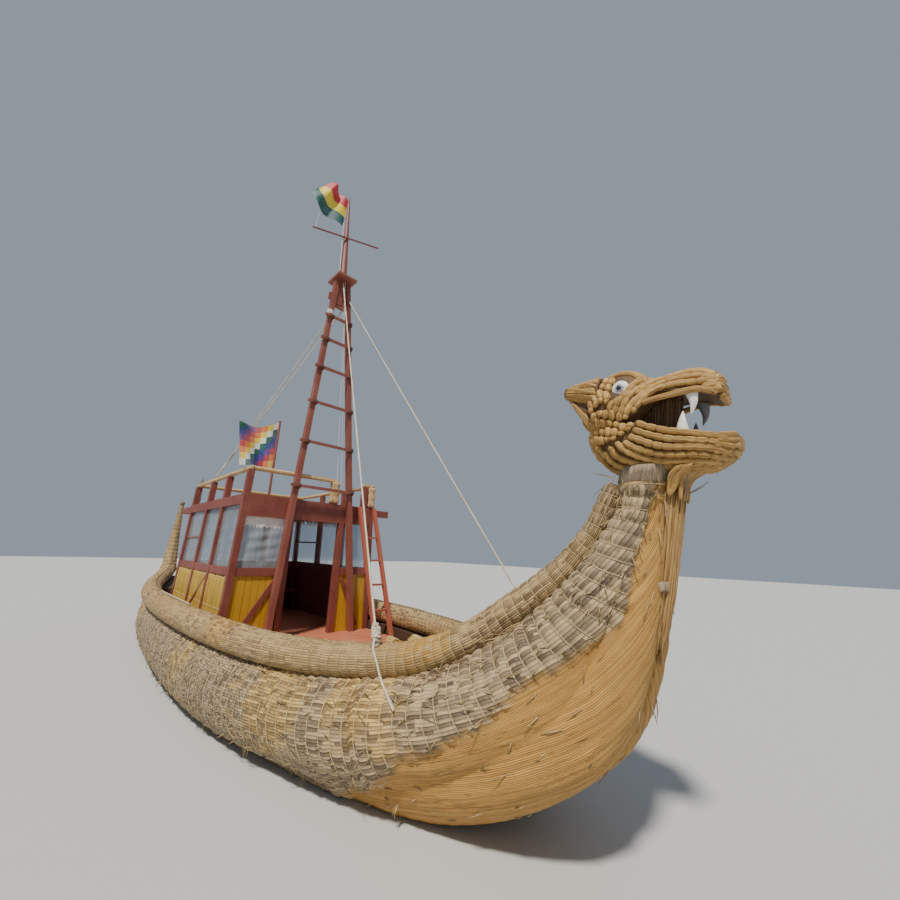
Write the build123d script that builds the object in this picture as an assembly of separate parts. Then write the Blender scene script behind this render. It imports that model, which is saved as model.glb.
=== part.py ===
from build123d import *
from math import cos, pi, sin, sqrt
import os

# Reed boat with a carved dragon head, a timber cabin and a ladder mast.
# Millimetres. +X to the bow, +Y to port, +Z up. The origin is on the waterline, on the centreline, amidships.

# Hull bundles: how each section bulges, as shares of its height and greatest half breadth
side_bulge_height = 0.60
turn_height = 0.33
turn_breadth = 0.80
floor_breadth = 0.48

# One row per hull section: x and z of the roll seat, x and z of the keel, half breadth at the roll seat,
# greatest half breadth, and height of the floor beside the keel as a share of the section's height.
hull_sections = [
    (-7150, 1110, -7230, 640, 300, 360, 0.07),
    (-6550, 1000, -6650, 240, 480, 560, 0.07),
    (-5550, 930, -5600, -80, 770, 870, 0.07),
    (-4150, 890, -4150, -300, 1090, 1190, 0.07),
    (-2100, 880, -2100, -400, 1370, 1460, 0.07),
    (300, 880, 300, -420, 1440, 1560, 0.07),
    (2300, 880, 2300, -380, 1310, 1470, 0.07),
    (3600, 900, 3750, -230, 1060, 1250, 0.06),
    (4560, 980, 4930, -20, 700, 970, 0.03),
    (5290, 1226, 5940, 490, 490, 720, 0.0),
    (5810, 1590, 6420, 1020, 350, 510, -0.03),
    (6130, 1880, 6620, 1650, 260, 395, -0.06),
    (6370, 2170, 6700, 2080, 200, 300, -0.05),
    (6565, 2600, 6790, 2600, 140, 240, -0.03),
]

# Gunwale rolls: radius and clearance over the seat at each hull section, then the stern horns as x, y, z
# and radius from the tip down.
roll_sections = [
    (205, 1.4),
    (185, 1.4),
    (175, 1.4),
    (170, 1.4),
    (168, 1.4),
    (165, 1.4),
    (160, 1.4),
    (152, 3),
    (142, 5),
    (130, 5),
    (118, 6),
    (108, 8),
    (90, 11),
    (74, 11),
]
roll_steps = 36
horn_points = [
    (-7520, 215, 3350, 48),
    (-7480, 230, 2900, 78),
    (-7420, 250, 2350, 112),
    (-7330, 270, 1800, 160),
]

# Loose-reed stem before the neck, as x of its front, z, half depth and half breadth, and the head's collar
stem_rows = [
    (6640, 1450, 36, 45),
    (6745, 1823, 62, 72),
    (6808, 2109, 72, 80),
    (6875, 2447, 80, 86),
    (6905, 2596, 82, 88),
]
collar_bottom = 2600
collar_centre = 6680
collar_half_length = 188
collar_half_breadth = 215

# Head. Flat-faced sections across X: x, height of the flat face, rise of the crown, half breadth.
head_seat = 2684
head_joint = 3032
head_gap = 0.3
skull_rows = [
    (6270, 3110, 250, 90),
    (6400, 3040, 400, 205),
    (6560, 3030, 455, 255),
    (6730, 3140, 260, 225),
]
upper_jaw_rows = [
    (6730, 3140, 255, 225),
    (6860, 3215, 150, 205),
    (7020, 3200, 175, 175),
    (7190, 3130, 150, 110),
]
throat_rows = [
    (6300, 3035, 115, 95),
    (6400, 3035, 255, 192),
    (6560, 3028, 345, 255),
    (6730, 3010, 340, 240),
]
lower_jaw_rows = [
    (6730, 3010, 340, 240),
    (6880, 2955, 280, 205),
    (7060, 2890, 215, 175),
    (7225, 2865, 90, 120),
]
ear_base = (6440, 165, 3330, 120)
ear_tip = (6150, 205, 3395, 42)
eye_centre = (6630, 3275)
eye_radius = 56
eye_thickness = 66
pupil_radius = 17
pupil_thickness = 8
fang_half_breadth = 120
upper_fang = (7000, 165, 42)
lower_fang = (6935, 175, 46)
upper_fang_root = 3215
lower_fang_root = 2930
fang_point_radius = 3
eye_reach = 226

# Deck well between the rolls, and the boards laid across it
deck_level = 720
deck_thickness = 30
deck_rim = 150
well_stations = (-5200, -4150, -2100, 300, 2300, 3600, 4300)
board_width = 190
board_gap = 6
board_margin = 12

# Cabin: base and top of the walls, measured from the deck, and the members of its frame
cabin_front = 1440
cabin_length = 3100
cabin_half_base = 1200
cabin_half_top = 1125
post_size = 90
side_post_stations = (0.33, 0.63)
door_half_width = 400
door_centre = 60
sill_height = 900
sill_depth = 110
sill_inset = 8
aft_post_place = 380
brace_outer = 960
roof_overhang = 60
roof_board_count = 13
header_height = 1750
header_depth = 290
header_thickness = 60
header_overhang = 330
side_beam_overhang = 620
side_beam_depth = 120
rail_height = 2470
rail_radius = 34
rail_gap = (330, 930)
wall_thickness = 30
brace_size = 70
brace_thickness = 22
pane_thickness = 6
pane_gap = 0.3
roof_thickness = 28
fringe_depth = 170
fringe_thickness = 24
bench_height = 420
bench_depth = 380
bench_thickness = 40

# Ladder mast: two leaning legs, rungs, platform box, topmast and yard
mast_foot_half = 690
mast_foot_shift = 140
mast_head_z = 7040
mast_head_half = 112
mast_head_shift = -45
leg_width = 78
leg_depth = 100
rung_heights = (3030, 3780, 4490, 5155, 5720, 6200)
rung_size = 42
rung_overhang = (75, 8)
head_panel_bottom = 6460
head_panel_thickness = 40
head_panel_gap = 1
platform_size = (440, 380, 45)
topmast_foot_radius = 72
topmast_tip_radius = 20
topmast_tip = (1290, -20, 9240)
yard_height = 8108
yard_half_length = 712
yard_radius = 16
yard_gap = 0.3
yard_slope = 0.32

# Boarding ladder at the port front corner
boarding_side = (815, 1115)
boarding_foot_x = 2260
boarding_top = 2068
boarding_lean_gap = 45
boarding_rungs = (390, 770, 1150, 1530)
boarding_size = 60

# Loose reeds in the port horn, the pole on the starboard roll, the spare reed bundles on the foredeck
horn_reeds = 9
horn_reed_radius = 7
horn_reed_spacing = 0.3
horn_reed_length = 1020
horn_reed_unevenness = 0.45
horn_reed_lean = 0.10
horn_reed_gap = 1.7
pole_ends = [(-1250, -1415, 1230.4), (800, -1418, 1230.4)]
pole_radius = 14
spare_bundle_gap = 0.3
spare_bundles = [
    ((3050, 900), (3700, 730), 95),
    ((2700, 735), (2950, 685), 68),
]

# Main stays and the knot
rope_radius = 11
forestay_height = 6680
shroud_head = (-55, 6990)
aft_stay_heights = (6150, 6650)
shroud_foot = (4470, -735, 1319.4)
shroud_knot_radius = 62
forestay_foot = (5290, 444, 1563)
stay_end_gap = 8
stay_foot_spread = 24

# Flags: x of the aft face and the outline as y, z; and the pole of the checked flag
tricolour_x = 1285
tricolour_outline = [(-44, 9150), (-452, 9363), (-789, 8845), (-726, 8521), (-100, 8458)]
checked_x = 1182
checked_hoist = (3312, 4070)
checked_fly = [(-1332, 3935), (-1200, 3268)]
flag_thickness = 36
hoist_gap = 0.3
flag_pole_place = (1200, -700)
flag_pole_top = 4110
flag_pole_radius = 18


def section_axis(row):
    """Seat point, keel point, unit direction from keel to seat and their distance, for one hull section."""
    seat = Vector(row[0], 0, row[1])
    keel = Vector(row[2], 0, row[3])
    span = seat - keel
    return seat, keel, span.normalized(), span.length


def bundle_loft(side):
    """One lashed reed bundle, flat where it meets its twin on the centreline."""
    wires = []
    for row in hull_sections:
        seat, keel, up, height = section_axis(row)
        edge, widest, floor = row[4:]

        def at(breadth, rise):
            return keel + up * rise + Vector(0, side * breadth, 0)

        turn = at(widest * turn_breadth, height * turn_height)
        wires.append(Wire([
            Line(at(0, 0), at(0, height)),
            Line(at(0, height), at(edge, height)),
            ThreePointArc(at(edge, height), at(widest, height * side_bulge_height), turn),
            ThreePointArc(turn, at(widest * floor_breadth, height * floor), at(0, 0)),
        ]))
    return Solid.make_loft(wires)


def tube(rows):
    """A tapering round bundle through rows of x, y, z and radius."""
    points = [Vector(*row[:3]) for row in rows]
    wires = []
    for index, point in enumerate(points):
        before = points[max(index - 1, 0)]
        after = points[min(index + 1, len(points) - 1)]
        direction = (after - before).normalized()
        across = Vector(0, 1, 0) - direction * direction.Y
        frame = Plane(origin=point, x_dir=across.normalized(), z_dir=direction)
        wires.append(Wire.make_circle(rows[index][3], frame))
    return Solid.make_loft(wires, ruled=True)


def rod(start, end, start_radius, end_radius=None):
    """A straight round bar or cone from one point to another."""
    start, end = Vector(start), Vector(end)
    if end_radius is None:
        end_radius = start_radius
    frame = Plane(origin=start, z_dir=end - start)
    if start_radius == end_radius:
        return Solid.make_cylinder(start_radius, (end - start).length, frame)
    return Solid.make_cone(start_radius, end_radius, (end - start).length, frame)


def beam(start, end, width, depth, across=(0, 1, 0)):
    """A straight squared timber; width runs along the across direction."""
    start, end = Vector(start), Vector(end)
    direction = (end - start).normalized()
    across = Vector(across)
    across = (across - direction * across.dot(direction)).normalized()
    frame = Plane(origin=start, x_dir=across, z_dir=direction)
    outline = Face.make_rect(width, depth, frame)
    return Solid.extrude(outline, end - start)


def block(low, high):
    """A squared solid between two corners."""
    size = [high[axis] - low[axis] for axis in range(3)]
    return Solid.make_box(*size, Plane(origin=low))


def crown_loft(rows, way):
    """Flat on one side and arched on the other, through sections across X."""
    wires = []
    for x, flat, rise, breadth in rows:
        left = Vector(x, -breadth, flat)
        right = Vector(x, breadth, flat)
        crown = Vector(x, 0, flat + way * rise)
        wires.append(Wire([Line(left, right), ThreePointArc(right, crown, left)]))
    return Solid.make_loft(wires)


def between(table, x):
    """Values of a table at x, straight between the rows on each side of it."""
    for first, second in zip(table, table[1:]):
        if x <= second[0] or second is table[-1]:
            share = (x - first[0]) / (second[0] - first[0])
            return [a + share * (b - a) for a, b in zip(first, second)]


def roll_rows(bundle, side):
    """The gunwale roll: a horn at the stern, then along the outer top edge of its bundle."""
    first = hull_sections[0]
    start = Vector(first[0], side * first[4], first[1])
    ends_there = [
        edge for edge in bundle.edges() if min((edge @ 0 - start).length, (edge @ 1 - start).length) < 1]
    seat_edge = max(ends_there, key=lambda edge: edge.length)
    forwards = (seat_edge @ 0).X < (seat_edge @ 1).X
    table = []
    for row, (radius, gap) in zip(hull_sections, roll_sections):
        up = section_axis(row)[2]
        table.append((row[0], up.X, up.Z, radius, gap))
    rows = [(x, side * y, z, radius) for x, y, z, radius in horn_points]
    for step in range(roll_steps + 1):
        share = step / roll_steps
        seat = seat_edge @ (share if forwards else 1 - share)
        x, up_x, up_z, radius, gap = between(table, seat.X)
        centre = seat + Vector(up_x, 0, up_z).normalized() * (radius + gap)
        rows.append((centre.X, centre.Y, centre.Z, radius))
    return rows


def seat_at(x):
    """Height of the roll seat and half breadth there, straight between the hull sections."""
    for first, second in zip(hull_sections, hull_sections[1:]):
        if first[0] <= x <= second[0]:
            share = (x - first[0]) / (second[0] - first[0])
            return [first[item] + share * (second[item] - first[item]) for item in (1, 4)]


def well_reach(x):
    """Half breadth of the deck well."""
    return seat_at(x)[1] - deck_rim


def deck_well():
    """What is cut from the gunwale bases to make room for the flat deck."""
    outline = [(x, well_reach(x)) for x in well_stations]
    outline += [(x, -well_reach(x)) for x in reversed(well_stations)]
    face = Face(Wire.make_polygon([Vector(x, y, deck_level) for x, y in outline]))
    highest = max(seat_at(x)[0] for x in well_stations)
    return Solid.extrude(face, Vector(0, 0, 2 * (highest - deck_level)))


def well_zone():
    """Everything above the deck's bearing between the ends of the well."""
    reach = 2 * max(row[5] for row in hull_sections)
    return block((well_stations[0], -reach, deck_level), (well_stations[-1], reach, deck_level + reach))


deck_top = deck_level + deck_thickness


def deck_boards():
    """Boards across the deck, each as long as the well lets it be."""
    boards = []
    x = well_stations[0] + board_gap
    while x + board_width + board_gap <= well_stations[-1]:
        reach = min(well_reach(x), well_reach(x + board_width)) - board_margin
        boards.append(block((x, -reach, deck_level), (x + board_width, reach, deck_top)))
        x += board_width + board_gap
    return boards


def wall_y(side, height):
    """Outer face of the cabin's side at a height over the deck."""
    lean = (cabin_half_base - cabin_half_top) / rail_height
    return side * (cabin_half_base - lean * height)


cabin_back = cabin_front - cabin_length


def wall_post(x, side, low, high):
    """A leaning post of a cabin side, its outer face on the wall's plane, cut level at both ends."""
    corners = []
    for z, insets in ((low, (0, post_size)), (high, (post_size, 0))):
        outer = wall_y(side, z - deck_top)
        corners += [Vector(x - post_size / 2, outer - side * inset, z) for inset in insets]
    return Solid.extrude(Face(Wire.make_polygon(corners)), Vector(post_size, 0, 0))


beam_bottom = deck_top + header_height
beam_top = beam_bottom + header_depth
side_beam_bottom = beam_top - side_beam_depth
sill_bottom = deck_top + sill_height
sill_top = sill_bottom + sill_depth
rail_level = deck_top + rail_height
roof_top = beam_top + roof_thickness
front_x = cabin_front - post_size / 2
back_x = cabin_back + post_size / 2
side_xs = [front_x] + [cabin_front - cabin_length * share for share in side_post_stations] + [back_x]
door_low = door_centre - door_half_width
door_high = door_centre + door_half_width


def cabin_sides():
    """Posts, sills, reed panels, panes and top beams of the two long sides."""
    half = post_size / 2
    posts = []
    beams = []
    sills = []
    panels = []
    panes = []
    for side in (-1, 1):
        posts += [wall_post(x, side, deck_top, side_beam_bottom) for x in side_xs]

        def y_at(height, inset):
            return wall_y(side, height - deck_top) - side * inset

        beam_y = sorted((y_at(side_beam_bottom, 0), y_at(side_beam_bottom, post_size)))
        beams.append(block((cabin_back - side_beam_overhang, beam_y[0], side_beam_bottom),
                           (cabin_front - post_size, beam_y[1], beam_top)))
        for ahead, behind in zip(side_xs, side_xs[1:]):
            high_x, low_x = ahead - half, behind + half

            def slab(low_z, high_z, outer, inner, gap=0):
                corners = []
                for z in (low_z, high_z):
                    corners += [Vector(low_x + gap, y_at(z, inset), z) for inset in (outer, inner)]
                face = Face(Wire.make_polygon([corners[0], corners[1], corners[3], corners[2]]))
                return Solid.extrude(face, Vector(high_x - low_x - 2 * gap, 0, 0))

            sills.append(slab(sill_bottom, sill_top, sill_inset, post_size - sill_inset))
            middle = (post_size - wall_thickness) / 2
            panels.append(slab(deck_top, sill_bottom, middle, middle + wall_thickness))
            middle = (post_size - pane_thickness) / 2
            panes.append(slab(sill_top + pane_gap, side_beam_bottom - pane_gap,
                              middle, middle + pane_thickness, pane_gap))
    return {"cabin_posts": posts, "cabin_side_beams": beams, "cabin_sills": sills,
            "cabin_reed_panels": panels, "window_panes": panes}


def leaning_panel(x, thickness, side, inner_y, low_z, high_z, gap=0):
    """A panel across the boat between an upright at inner_y and the leaning corner post."""
    def post_y(height):
        return wall_y(side, height - deck_top) - side * (post_size + gap)

    inner = inner_y + side * gap
    corners = [
        Vector(x - thickness / 2, inner, low_z), Vector(x - thickness / 2, post_y(low_z), low_z),
        Vector(x - thickness / 2, post_y(high_z), high_z), Vector(x - thickness / 2, inner, high_z)]
    return Solid.extrude(Face(Wire.make_polygon(corners)), Vector(thickness, 0, 0))


def brace_across(x, start, end):
    """A flat diagonal batten on the front of a plank panel."""
    return beam((x, *start), (x, *end), brace_thickness, brace_size, across=(1, 0, 0))


def cabin_ends():
    """The front with its doorway, and the aft end."""
    nodes = {}
    half = post_size / 2
    low_x, high_x = front_x - half, front_x + half
    header_bottom = beam_bottom
    door_posts = [
        block((low_x, door_low - post_size, deck_top), (high_x, door_low, header_bottom)),
        block((low_x, door_high, deck_top), (high_x, door_high + post_size, header_bottom))]
    top_half = abs(wall_y(1, side_beam_bottom - deck_top))
    nodes["cabin_cross_beams"] = [
        block((low_x, -top_half, side_beam_bottom), (high_x, top_half + header_overhang, beam_top)),
        block((back_x - half, post_size - top_half, side_beam_bottom),
              (back_x + half, top_half - post_size, beam_top))]
    corners = []
    for z, sides in ((header_bottom, (-1, 1)), (side_beam_bottom, (1, -1))):
        reach = wall_y(1, z - deck_top) - post_size
        corners += [Vector(high_x - header_thickness, side * reach, z) for side in sides]
    nodes["cabin_header"] = [Solid.extrude(Face(Wire.make_polygon(corners)), Vector(header_thickness, 0, 0))]
    uprights = {-1: door_low - post_size, 1: door_high + post_size}
    sills = []
    planks = []
    front_panes = []
    for side, upright in uprights.items():
        sills.append(leaning_panel(front_x, post_size - 2 * sill_inset, side, upright, sill_bottom, sill_top))
        planks.append(leaning_panel(front_x, wall_thickness, side, upright, deck_top, sill_bottom))
        front_panes.append(leaning_panel(front_x, pane_thickness, side, upright, sill_top + pane_gap,
                                         header_bottom - pane_gap, pane_gap))
    nodes["cabin_plank_panels"] = planks
    nodes["front_window_sheet"] = front_panes[:1]
    brace_x = front_x + (wall_thickness + brace_thickness) / 2
    lowest, highest = deck_top + brace_size, sill_bottom - brace_size
    nodes["cabin_braces"] = [
        brace_across(brace_x, (side * brace_outer, lowest), (upright + side * brace_size, highest))
        for side, upright in uprights.items()]

    aft_posts = []
    for y in (-aft_post_place, aft_post_place):
        aft_posts.append(block((back_x - half, y - half, deck_top),
                               (back_x + half, y + half, side_beam_bottom)))
    nodes["cabin_posts"] = door_posts + aft_posts
    inside = aft_post_place - half
    sill_half = half - sill_inset
    wall_half = wall_thickness / 2
    glass_half = pane_thickness / 2
    aft_sills = [block((back_x - sill_half, -inside, sill_bottom), (back_x + sill_half, inside, sill_top))]
    aft_panels = [block((back_x - wall_half, -inside, deck_top), (back_x + wall_half, inside, sill_bottom))]
    aft_panes = [block((back_x - glass_half, pane_gap - inside, sill_top + pane_gap),
                       (back_x + glass_half, inside - pane_gap, side_beam_bottom - pane_gap))]
    for side in (-1, 1):
        inner = side * (aft_post_place + half)
        aft_sills.append(leaning_panel(back_x, 2 * sill_half, side, inner, sill_bottom, sill_top))
        aft_panels.append(leaning_panel(back_x, wall_thickness, side, inner, deck_top, sill_bottom))
        aft_panes.append(leaning_panel(back_x, pane_thickness, side, inner, sill_top + pane_gap,
                                       side_beam_bottom - pane_gap, pane_gap))
    nodes["cabin_sills"] = sills + aft_sills
    nodes["cabin_reed_panels"] = aft_panels
    nodes["window_panes"] = front_panes[1:] + aft_panes

    bench_back = back_x + half + board_gap
    bench_half = abs(wall_y(1, bench_height)) - post_size - board_margin
    seat_low = deck_top + bench_height - bench_thickness
    bench = [block((bench_back, -bench_half, seat_low),
                   (bench_back + bench_depth, bench_half, seat_low + bench_thickness))]
    for share in (-1, 0, 1):
        y = share * (bench_half - bench_thickness)
        leg = block((bench_back, y - bench_thickness / 2, deck_top),
                    (bench_back + bench_depth - bench_thickness, y + bench_thickness / 2, seat_low))
        bench.append(leg)
    nodes["cabin_bench"] = [Solid.fuse(bench[0], *bench[1:])]
    fringe_x = high_x - header_thickness
    nodes["straw_fringe"] = [block((fringe_x - fringe_thickness, door_low, header_bottom - fringe_depth),
                                   (fringe_x, door_high, side_beam_bottom))]
    return nodes


def roof_and_rail():
    """Roof boards between the top beams, rail posts on the beams, and the reed-wrapped rails."""
    nodes = {}
    top_half = abs(wall_y(1, side_beam_bottom - deck_top))
    pitch = (cabin_length + roof_overhang + board_gap) / roof_board_count
    boards = []
    for index in range(roof_board_count):
        start = cabin_back - roof_overhang + index * pitch
        boards.append(block((start, -top_half, beam_top), (start + pitch - board_gap, top_half, roof_top)))
    nodes["roof_boards"] = boards
    posts = []
    post_top = rail_level - rail_radius
    for side in (-1, 1):
        posts += [wall_post(x, side, roof_top, post_top) for x in side_xs]
    half = post_size / 2
    for y in rail_gap:
        posts.append(block((front_x - half, y - half, roof_top), (front_x + half, y + half, post_top)))
    nodes["rail_posts"] = posts
    rail_y = abs(wall_y(1, rail_height)) - half
    clear = rail_radius + pane_gap
    back, front = back_x - half, front_x + half
    level = rail_level + pane_gap
    nodes["roof_side_rails"] = [
        rod((back, side * rail_y, level), (front, side * rail_y, level), rail_radius) for side in (-1, 1)]
    nodes["roof_cross_rails"] = [
        rod((x, low_y, level), (x, high_y, level), rail_radius) for x, low_y, high_y in (
            (back_x, clear - rail_y, rail_y - clear),
            (front_x, clear - rail_y, rail_gap[0] + half),
            (front_x, rail_gap[1] - half, rail_y - clear))]
    return nodes


def leg_point(side, z):
    """Centre of a mast leg at a height."""
    share = (z - deck_top) / (mast_head_z - deck_top)
    middle = mast_foot_shift + share * (mast_head_shift - mast_foot_shift)
    spread = mast_foot_half + share * (mast_head_half - mast_foot_half)
    return middle + side * spread


mast_x = cabin_front + leg_depth / 2 + pane_gap


def mast():
    """Two legs, the rungs nailed across them, the platform, the topmast and its yard."""
    nodes = {}
    legs = []
    for side in (-1, 1):
        low, high = deck_top - leg_width, mast_head_z + leg_width
        leg = beam((mast_x, leg_point(side, low), low), (mast_x, leg_point(side, high), high),
                   leg_width, leg_depth)
        reach = 2 * mast_foot_half
        legs.append(leg & block((0, -reach, deck_top), (2 * mast_x, reach, mast_head_z)))
    nodes["mast_legs"] = legs
    rung_x = mast_x + (leg_depth + rung_size) / 2
    rungs = []
    for z in rung_heights:
        low_y = leg_point(-1, z) - leg_width / 2 - rung_overhang[0]
        high_y = leg_point(1, z) + leg_width / 2 + rung_overhang[1]
        rungs.append(block((rung_x - rung_size / 2, low_y, z - rung_size / 2),
                           (rung_x + rung_size / 2, high_y, z + rung_size / 2)))
    nodes["mast_rungs"] = rungs
    corners = []
    for z, sides in ((head_panel_bottom, (-1, 1)), (mast_head_z - pane_gap, (1, -1))):
        corners += [Vector(mast_x - head_panel_thickness / 2,
                           leg_point(side, z) - side * (leg_width / 2 + head_panel_gap), z) for side in sides]
    panel = Face(Wire.make_polygon(corners))
    nodes["mast_head_panel"] = [Solid.extrude(panel, Vector(head_panel_thickness, 0, 0))]
    length, width, thickness = platform_size
    middle = mast_head_shift
    nodes["mast_platform"] = [block((mast_x - length / 2, middle - width / 2, mast_head_z),
                                    (mast_x + length / 2, middle + width / 2, mast_head_z + thickness))]
    foot = (mast_x, middle, mast_head_z + thickness)
    tilt = (Vector(topmast_tip) - Vector(foot)).normalized()
    spar = rod(Vector(foot) - tilt * thickness, topmast_tip, topmast_foot_radius, topmast_tip_radius)
    nodes["topmast"] = [spar - level_block(foot[:2], length, foot[2] - length, foot[2])]
    share = (yard_height - foot[2]) / (topmast_tip[2] - foot[2])
    radius = topmast_foot_radius + share * (topmast_tip_radius - topmast_foot_radius)
    yard_x = foot[0] + share * (topmast_tip[0] - foot[0]) + radius + yard_radius + yard_gap
    yard_y = foot[1] + share * (topmast_tip[1] - foot[1])
    rise = yard_slope * yard_half_length
    nodes["yard"] = [rod((yard_x, yard_y - yard_half_length, yard_height - rise),
                         (yard_x, yard_y + yard_half_length, yard_height + rise), yard_radius)]
    return nodes


def boarding_ladder():
    """Two rails leaning on the roof's edge at the port front corner, and the rungs between them."""
    half = boarding_size / 2
    top_x = cabin_front + boarding_lean_gap
    rails = []
    low, high = deck_top, deck_top + boarding_top
    reach = 2 * boarding_foot_x
    slope = (boarding_foot_x - top_x) / (beam_top - deck_top)
    for y in boarding_side:
        start = (boarding_foot_x + slope * boarding_size, y, low - boarding_size)
        end = (boarding_foot_x - slope * (high - low + boarding_size), y, high + boarding_size)
        rail = beam(start, end, boarding_size, boarding_size)
        rails.append(rail & block((-reach, -reach, low), (reach, reach, high)))
    rungs = []
    for height in boarding_rungs:
        x = boarding_foot_x - slope * height
        z = deck_top + height
        rungs.append(block((x - half, boarding_side[0] + half, z - half / 2),
                           (x + half, boarding_side[1] - half, z + half / 2)))
    return {"boarding_rails": rails, "boarding_rungs": rungs}


def stay(way, y, z, foot):
    """A taut rope from the fore or aft face of the mast down to its foot."""
    face_x = mast_x + way * leg_depth / 2
    slope = (Vector(foot) - Vector(face_x, y, z)).normalized()
    head_x = face_x + way * (rope_radius * sqrt(1 - slope.X ** 2) + pane_gap)
    return rod((head_x, y, z), foot, rope_radius)


def stays():
    """The four main stays, and the knot over the starboard roll."""
    nodes = {}
    knot = Solid.make_sphere(shroud_knot_radius, Plane(origin=shroud_foot))
    nodes["fore_shroud"] = [Solid.fuse(stay(1, *shroud_head, shroud_foot), knot)]
    nodes["forestay"] = [stay(1, leg_point(1, forestay_height), forestay_height, forestay_foot)]
    foot_z = rail_level + rail_radius + rope_radius + stay_end_gap
    aft_stays = []
    for side, height in zip((-1, 1), aft_stay_heights):
        foot = (side_xs[2] + side * stay_foot_spread, wall_y(-1, rail_height) + post_size / 2, foot_z)
        aft_stays.append(stay(-1, leg_point(side, height), height, foot))
    nodes["aft_stays"] = aft_stays
    return nodes


def hanging_flag(aft_x, outline):
    """A plain closed solid for a flag, over its outline across the boat."""
    face = Face(Wire.make_polygon([Vector(aft_x, *corner) for corner in outline]))
    return Solid.extrude(face, Vector(flag_thickness, 0, 0))


def flags():
    """The two flags, and the pole of the checked one."""
    x, y = flag_pole_place
    hoist = y - flag_pole_radius - hoist_gap
    checked_outline = [(hoist, checked_hoist[1]), *checked_fly, (hoist, checked_hoist[0])]
    return {
        "tricolour_flag": [hanging_flag(tricolour_x, tricolour_outline)],
        "checked_flag": [hanging_flag(checked_x, checked_outline)],
        "flag_pole": [rod((x, y, roof_top), (x, y, flag_pole_top), flag_pole_radius)],
    }


def level_block(centre, reach, low, high):
    """A wide square block between two levels."""
    x, y = centre
    return block((x - reach, y - reach, low), (x + reach, y + reach, high))


def head():
    """Skull, jaws, throat, ears, mouth lining, eyes, pupils and fangs."""
    reach = 4 * collar_half_length
    centre = (collar_centre, 0)
    skull = crown_loft(skull_rows, 1) - level_block(centre, reach, head_joint - reach, head_joint)
    over_joint = level_block(centre, reach, head_joint - head_gap, head_joint + reach)
    throat = crown_loft(throat_rows, -1) - over_joint
    lower_jaw = crown_loft(lower_jaw_rows, -1)
    under = level_block(centre, reach, head_seat + head_gap - reach, head_seat + head_gap)
    upper_jaw = crown_loft(upper_jaw_rows, 1)
    lower_jaw -= under
    ears = []
    eyes = []
    pupils = []
    for side in (-1, 1):
        base = (ear_base[0], side * ear_base[1], ear_base[2])
        tip = (ear_tip[0], side * ear_tip[1], ear_tip[2])
        ears.append(rod(base, tip, ear_base[3], ear_tip[3]) - skull)
        outer = side * eye_reach
        eye = rod((eye_centre[0], outer, eye_centre[1]),
                  (eye_centre[0], outer + side * eye_thickness, eye_centre[1]), eye_radius)
        eyes.append(eye - skull)
        outer += side * eye_thickness
        pupils.append(rod((eye_centre[0], outer, eye_centre[1]),
                          (eye_centre[0], outer + side * pupil_thickness, eye_centre[1]), pupil_radius))
    fangs = []
    for side in (-1, 1):
        x, length, radius = upper_fang
        y = side * fang_half_breadth
        fang = rod((x, y, upper_fang_root), (x, y, upper_fang_root - length), radius, fang_point_radius)
        fangs.append(fang - upper_jaw)
        x, length, radius = lower_fang
        fang = rod((x, y, lower_fang_root), (x, y, lower_fang_root + length), radius, fang_point_radius)
        fangs.append(fang - lower_jaw)
    return {"head_skull": [skull], "head_upper_jaw": [upper_jaw], "head_throat": [throat - under],
            "head_lower_jaw": [lower_jaw], "head_ears": ears, "eyes": eyes, "pupils": pupils, "fangs": fangs}


def bow(bundles):
    """The loose-reed stem before the neck, and the wrapped collar between neck and head."""
    wires = []
    for front_x, z, half_depth, half_breadth in stem_rows:
        x = front_x - half_depth
        centre = Vector(x, 0, z)
        back = Vector(x - half_depth, 0, z)
        left, right = centre + Vector(0, -half_breadth, 0), centre + Vector(0, half_breadth, 0)
        front = Vector(x + half_depth, 0, z)
        wires.append(Wire([ThreePointArc(left, back, right), ThreePointArc(right, front, left)]))
    stem = Solid.make_loft(wires, ruled=True) - bundles[-1] - bundles[1]
    frame = Plane(origin=(collar_centre, 0, collar_bottom))
    outline = Face(Wire.make_ellipse(collar_half_length, collar_half_breadth, frame))
    collar = Solid.extrude(outline, Vector(0, 0, head_seat - collar_bottom))
    return {"stem_bundle": [stem], "neck_collar": [collar]}


def loose_things():
    """Loose reeds in the port horn, the pole on the starboard roll and the spare bundles on the foredeck."""
    tip, below = Vector(*horn_points[0][:3]), Vector(*horn_points[1][:3])
    rise = tip - below
    ring = (2 * horn_reed_radius + horn_reed_spacing) / (2 * sin(pi / horn_reeds))
    reeds = []
    for index in range(horn_reeds):
        turn = 2 * pi * index / horn_reeds
        out = Vector(ring * cos(turn), ring * sin(turn), 0)
        foot = tip + out + Vector(0, 0, horn_reed_gap - out.dot(rise) / rise.Z)
        length = horn_reed_length * (1 - horn_reed_unevenness * (index * 5 % horn_reeds) / horn_reeds)
        lean = Vector(horn_reed_lean * cos(turn), horn_reed_lean * sin(turn), 1)
        reeds.append(rod(foot, foot + lean * length, horn_reed_radius))
    nodes = {"horn_reeds": reeds}
    nodes["loose_pole"] = [rod(pole_ends[0], pole_ends[1], pole_radius)]
    lying = []
    for start, end, radius in spare_bundles:
        level = deck_top + radius + spare_bundle_gap
        lying.append(rod((*start, level), (*end, level), radius))
    nodes["spare_bundles"] = lying
    return nodes


def export_all(nodes):
    os.makedirs("parts", exist_ok=True)
    for node, solids in nodes.items():
        shape = Compound(solids) if len(solids) > 1 else solids[0]
        export_step(shape, "parts/" + node + ".step")


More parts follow.
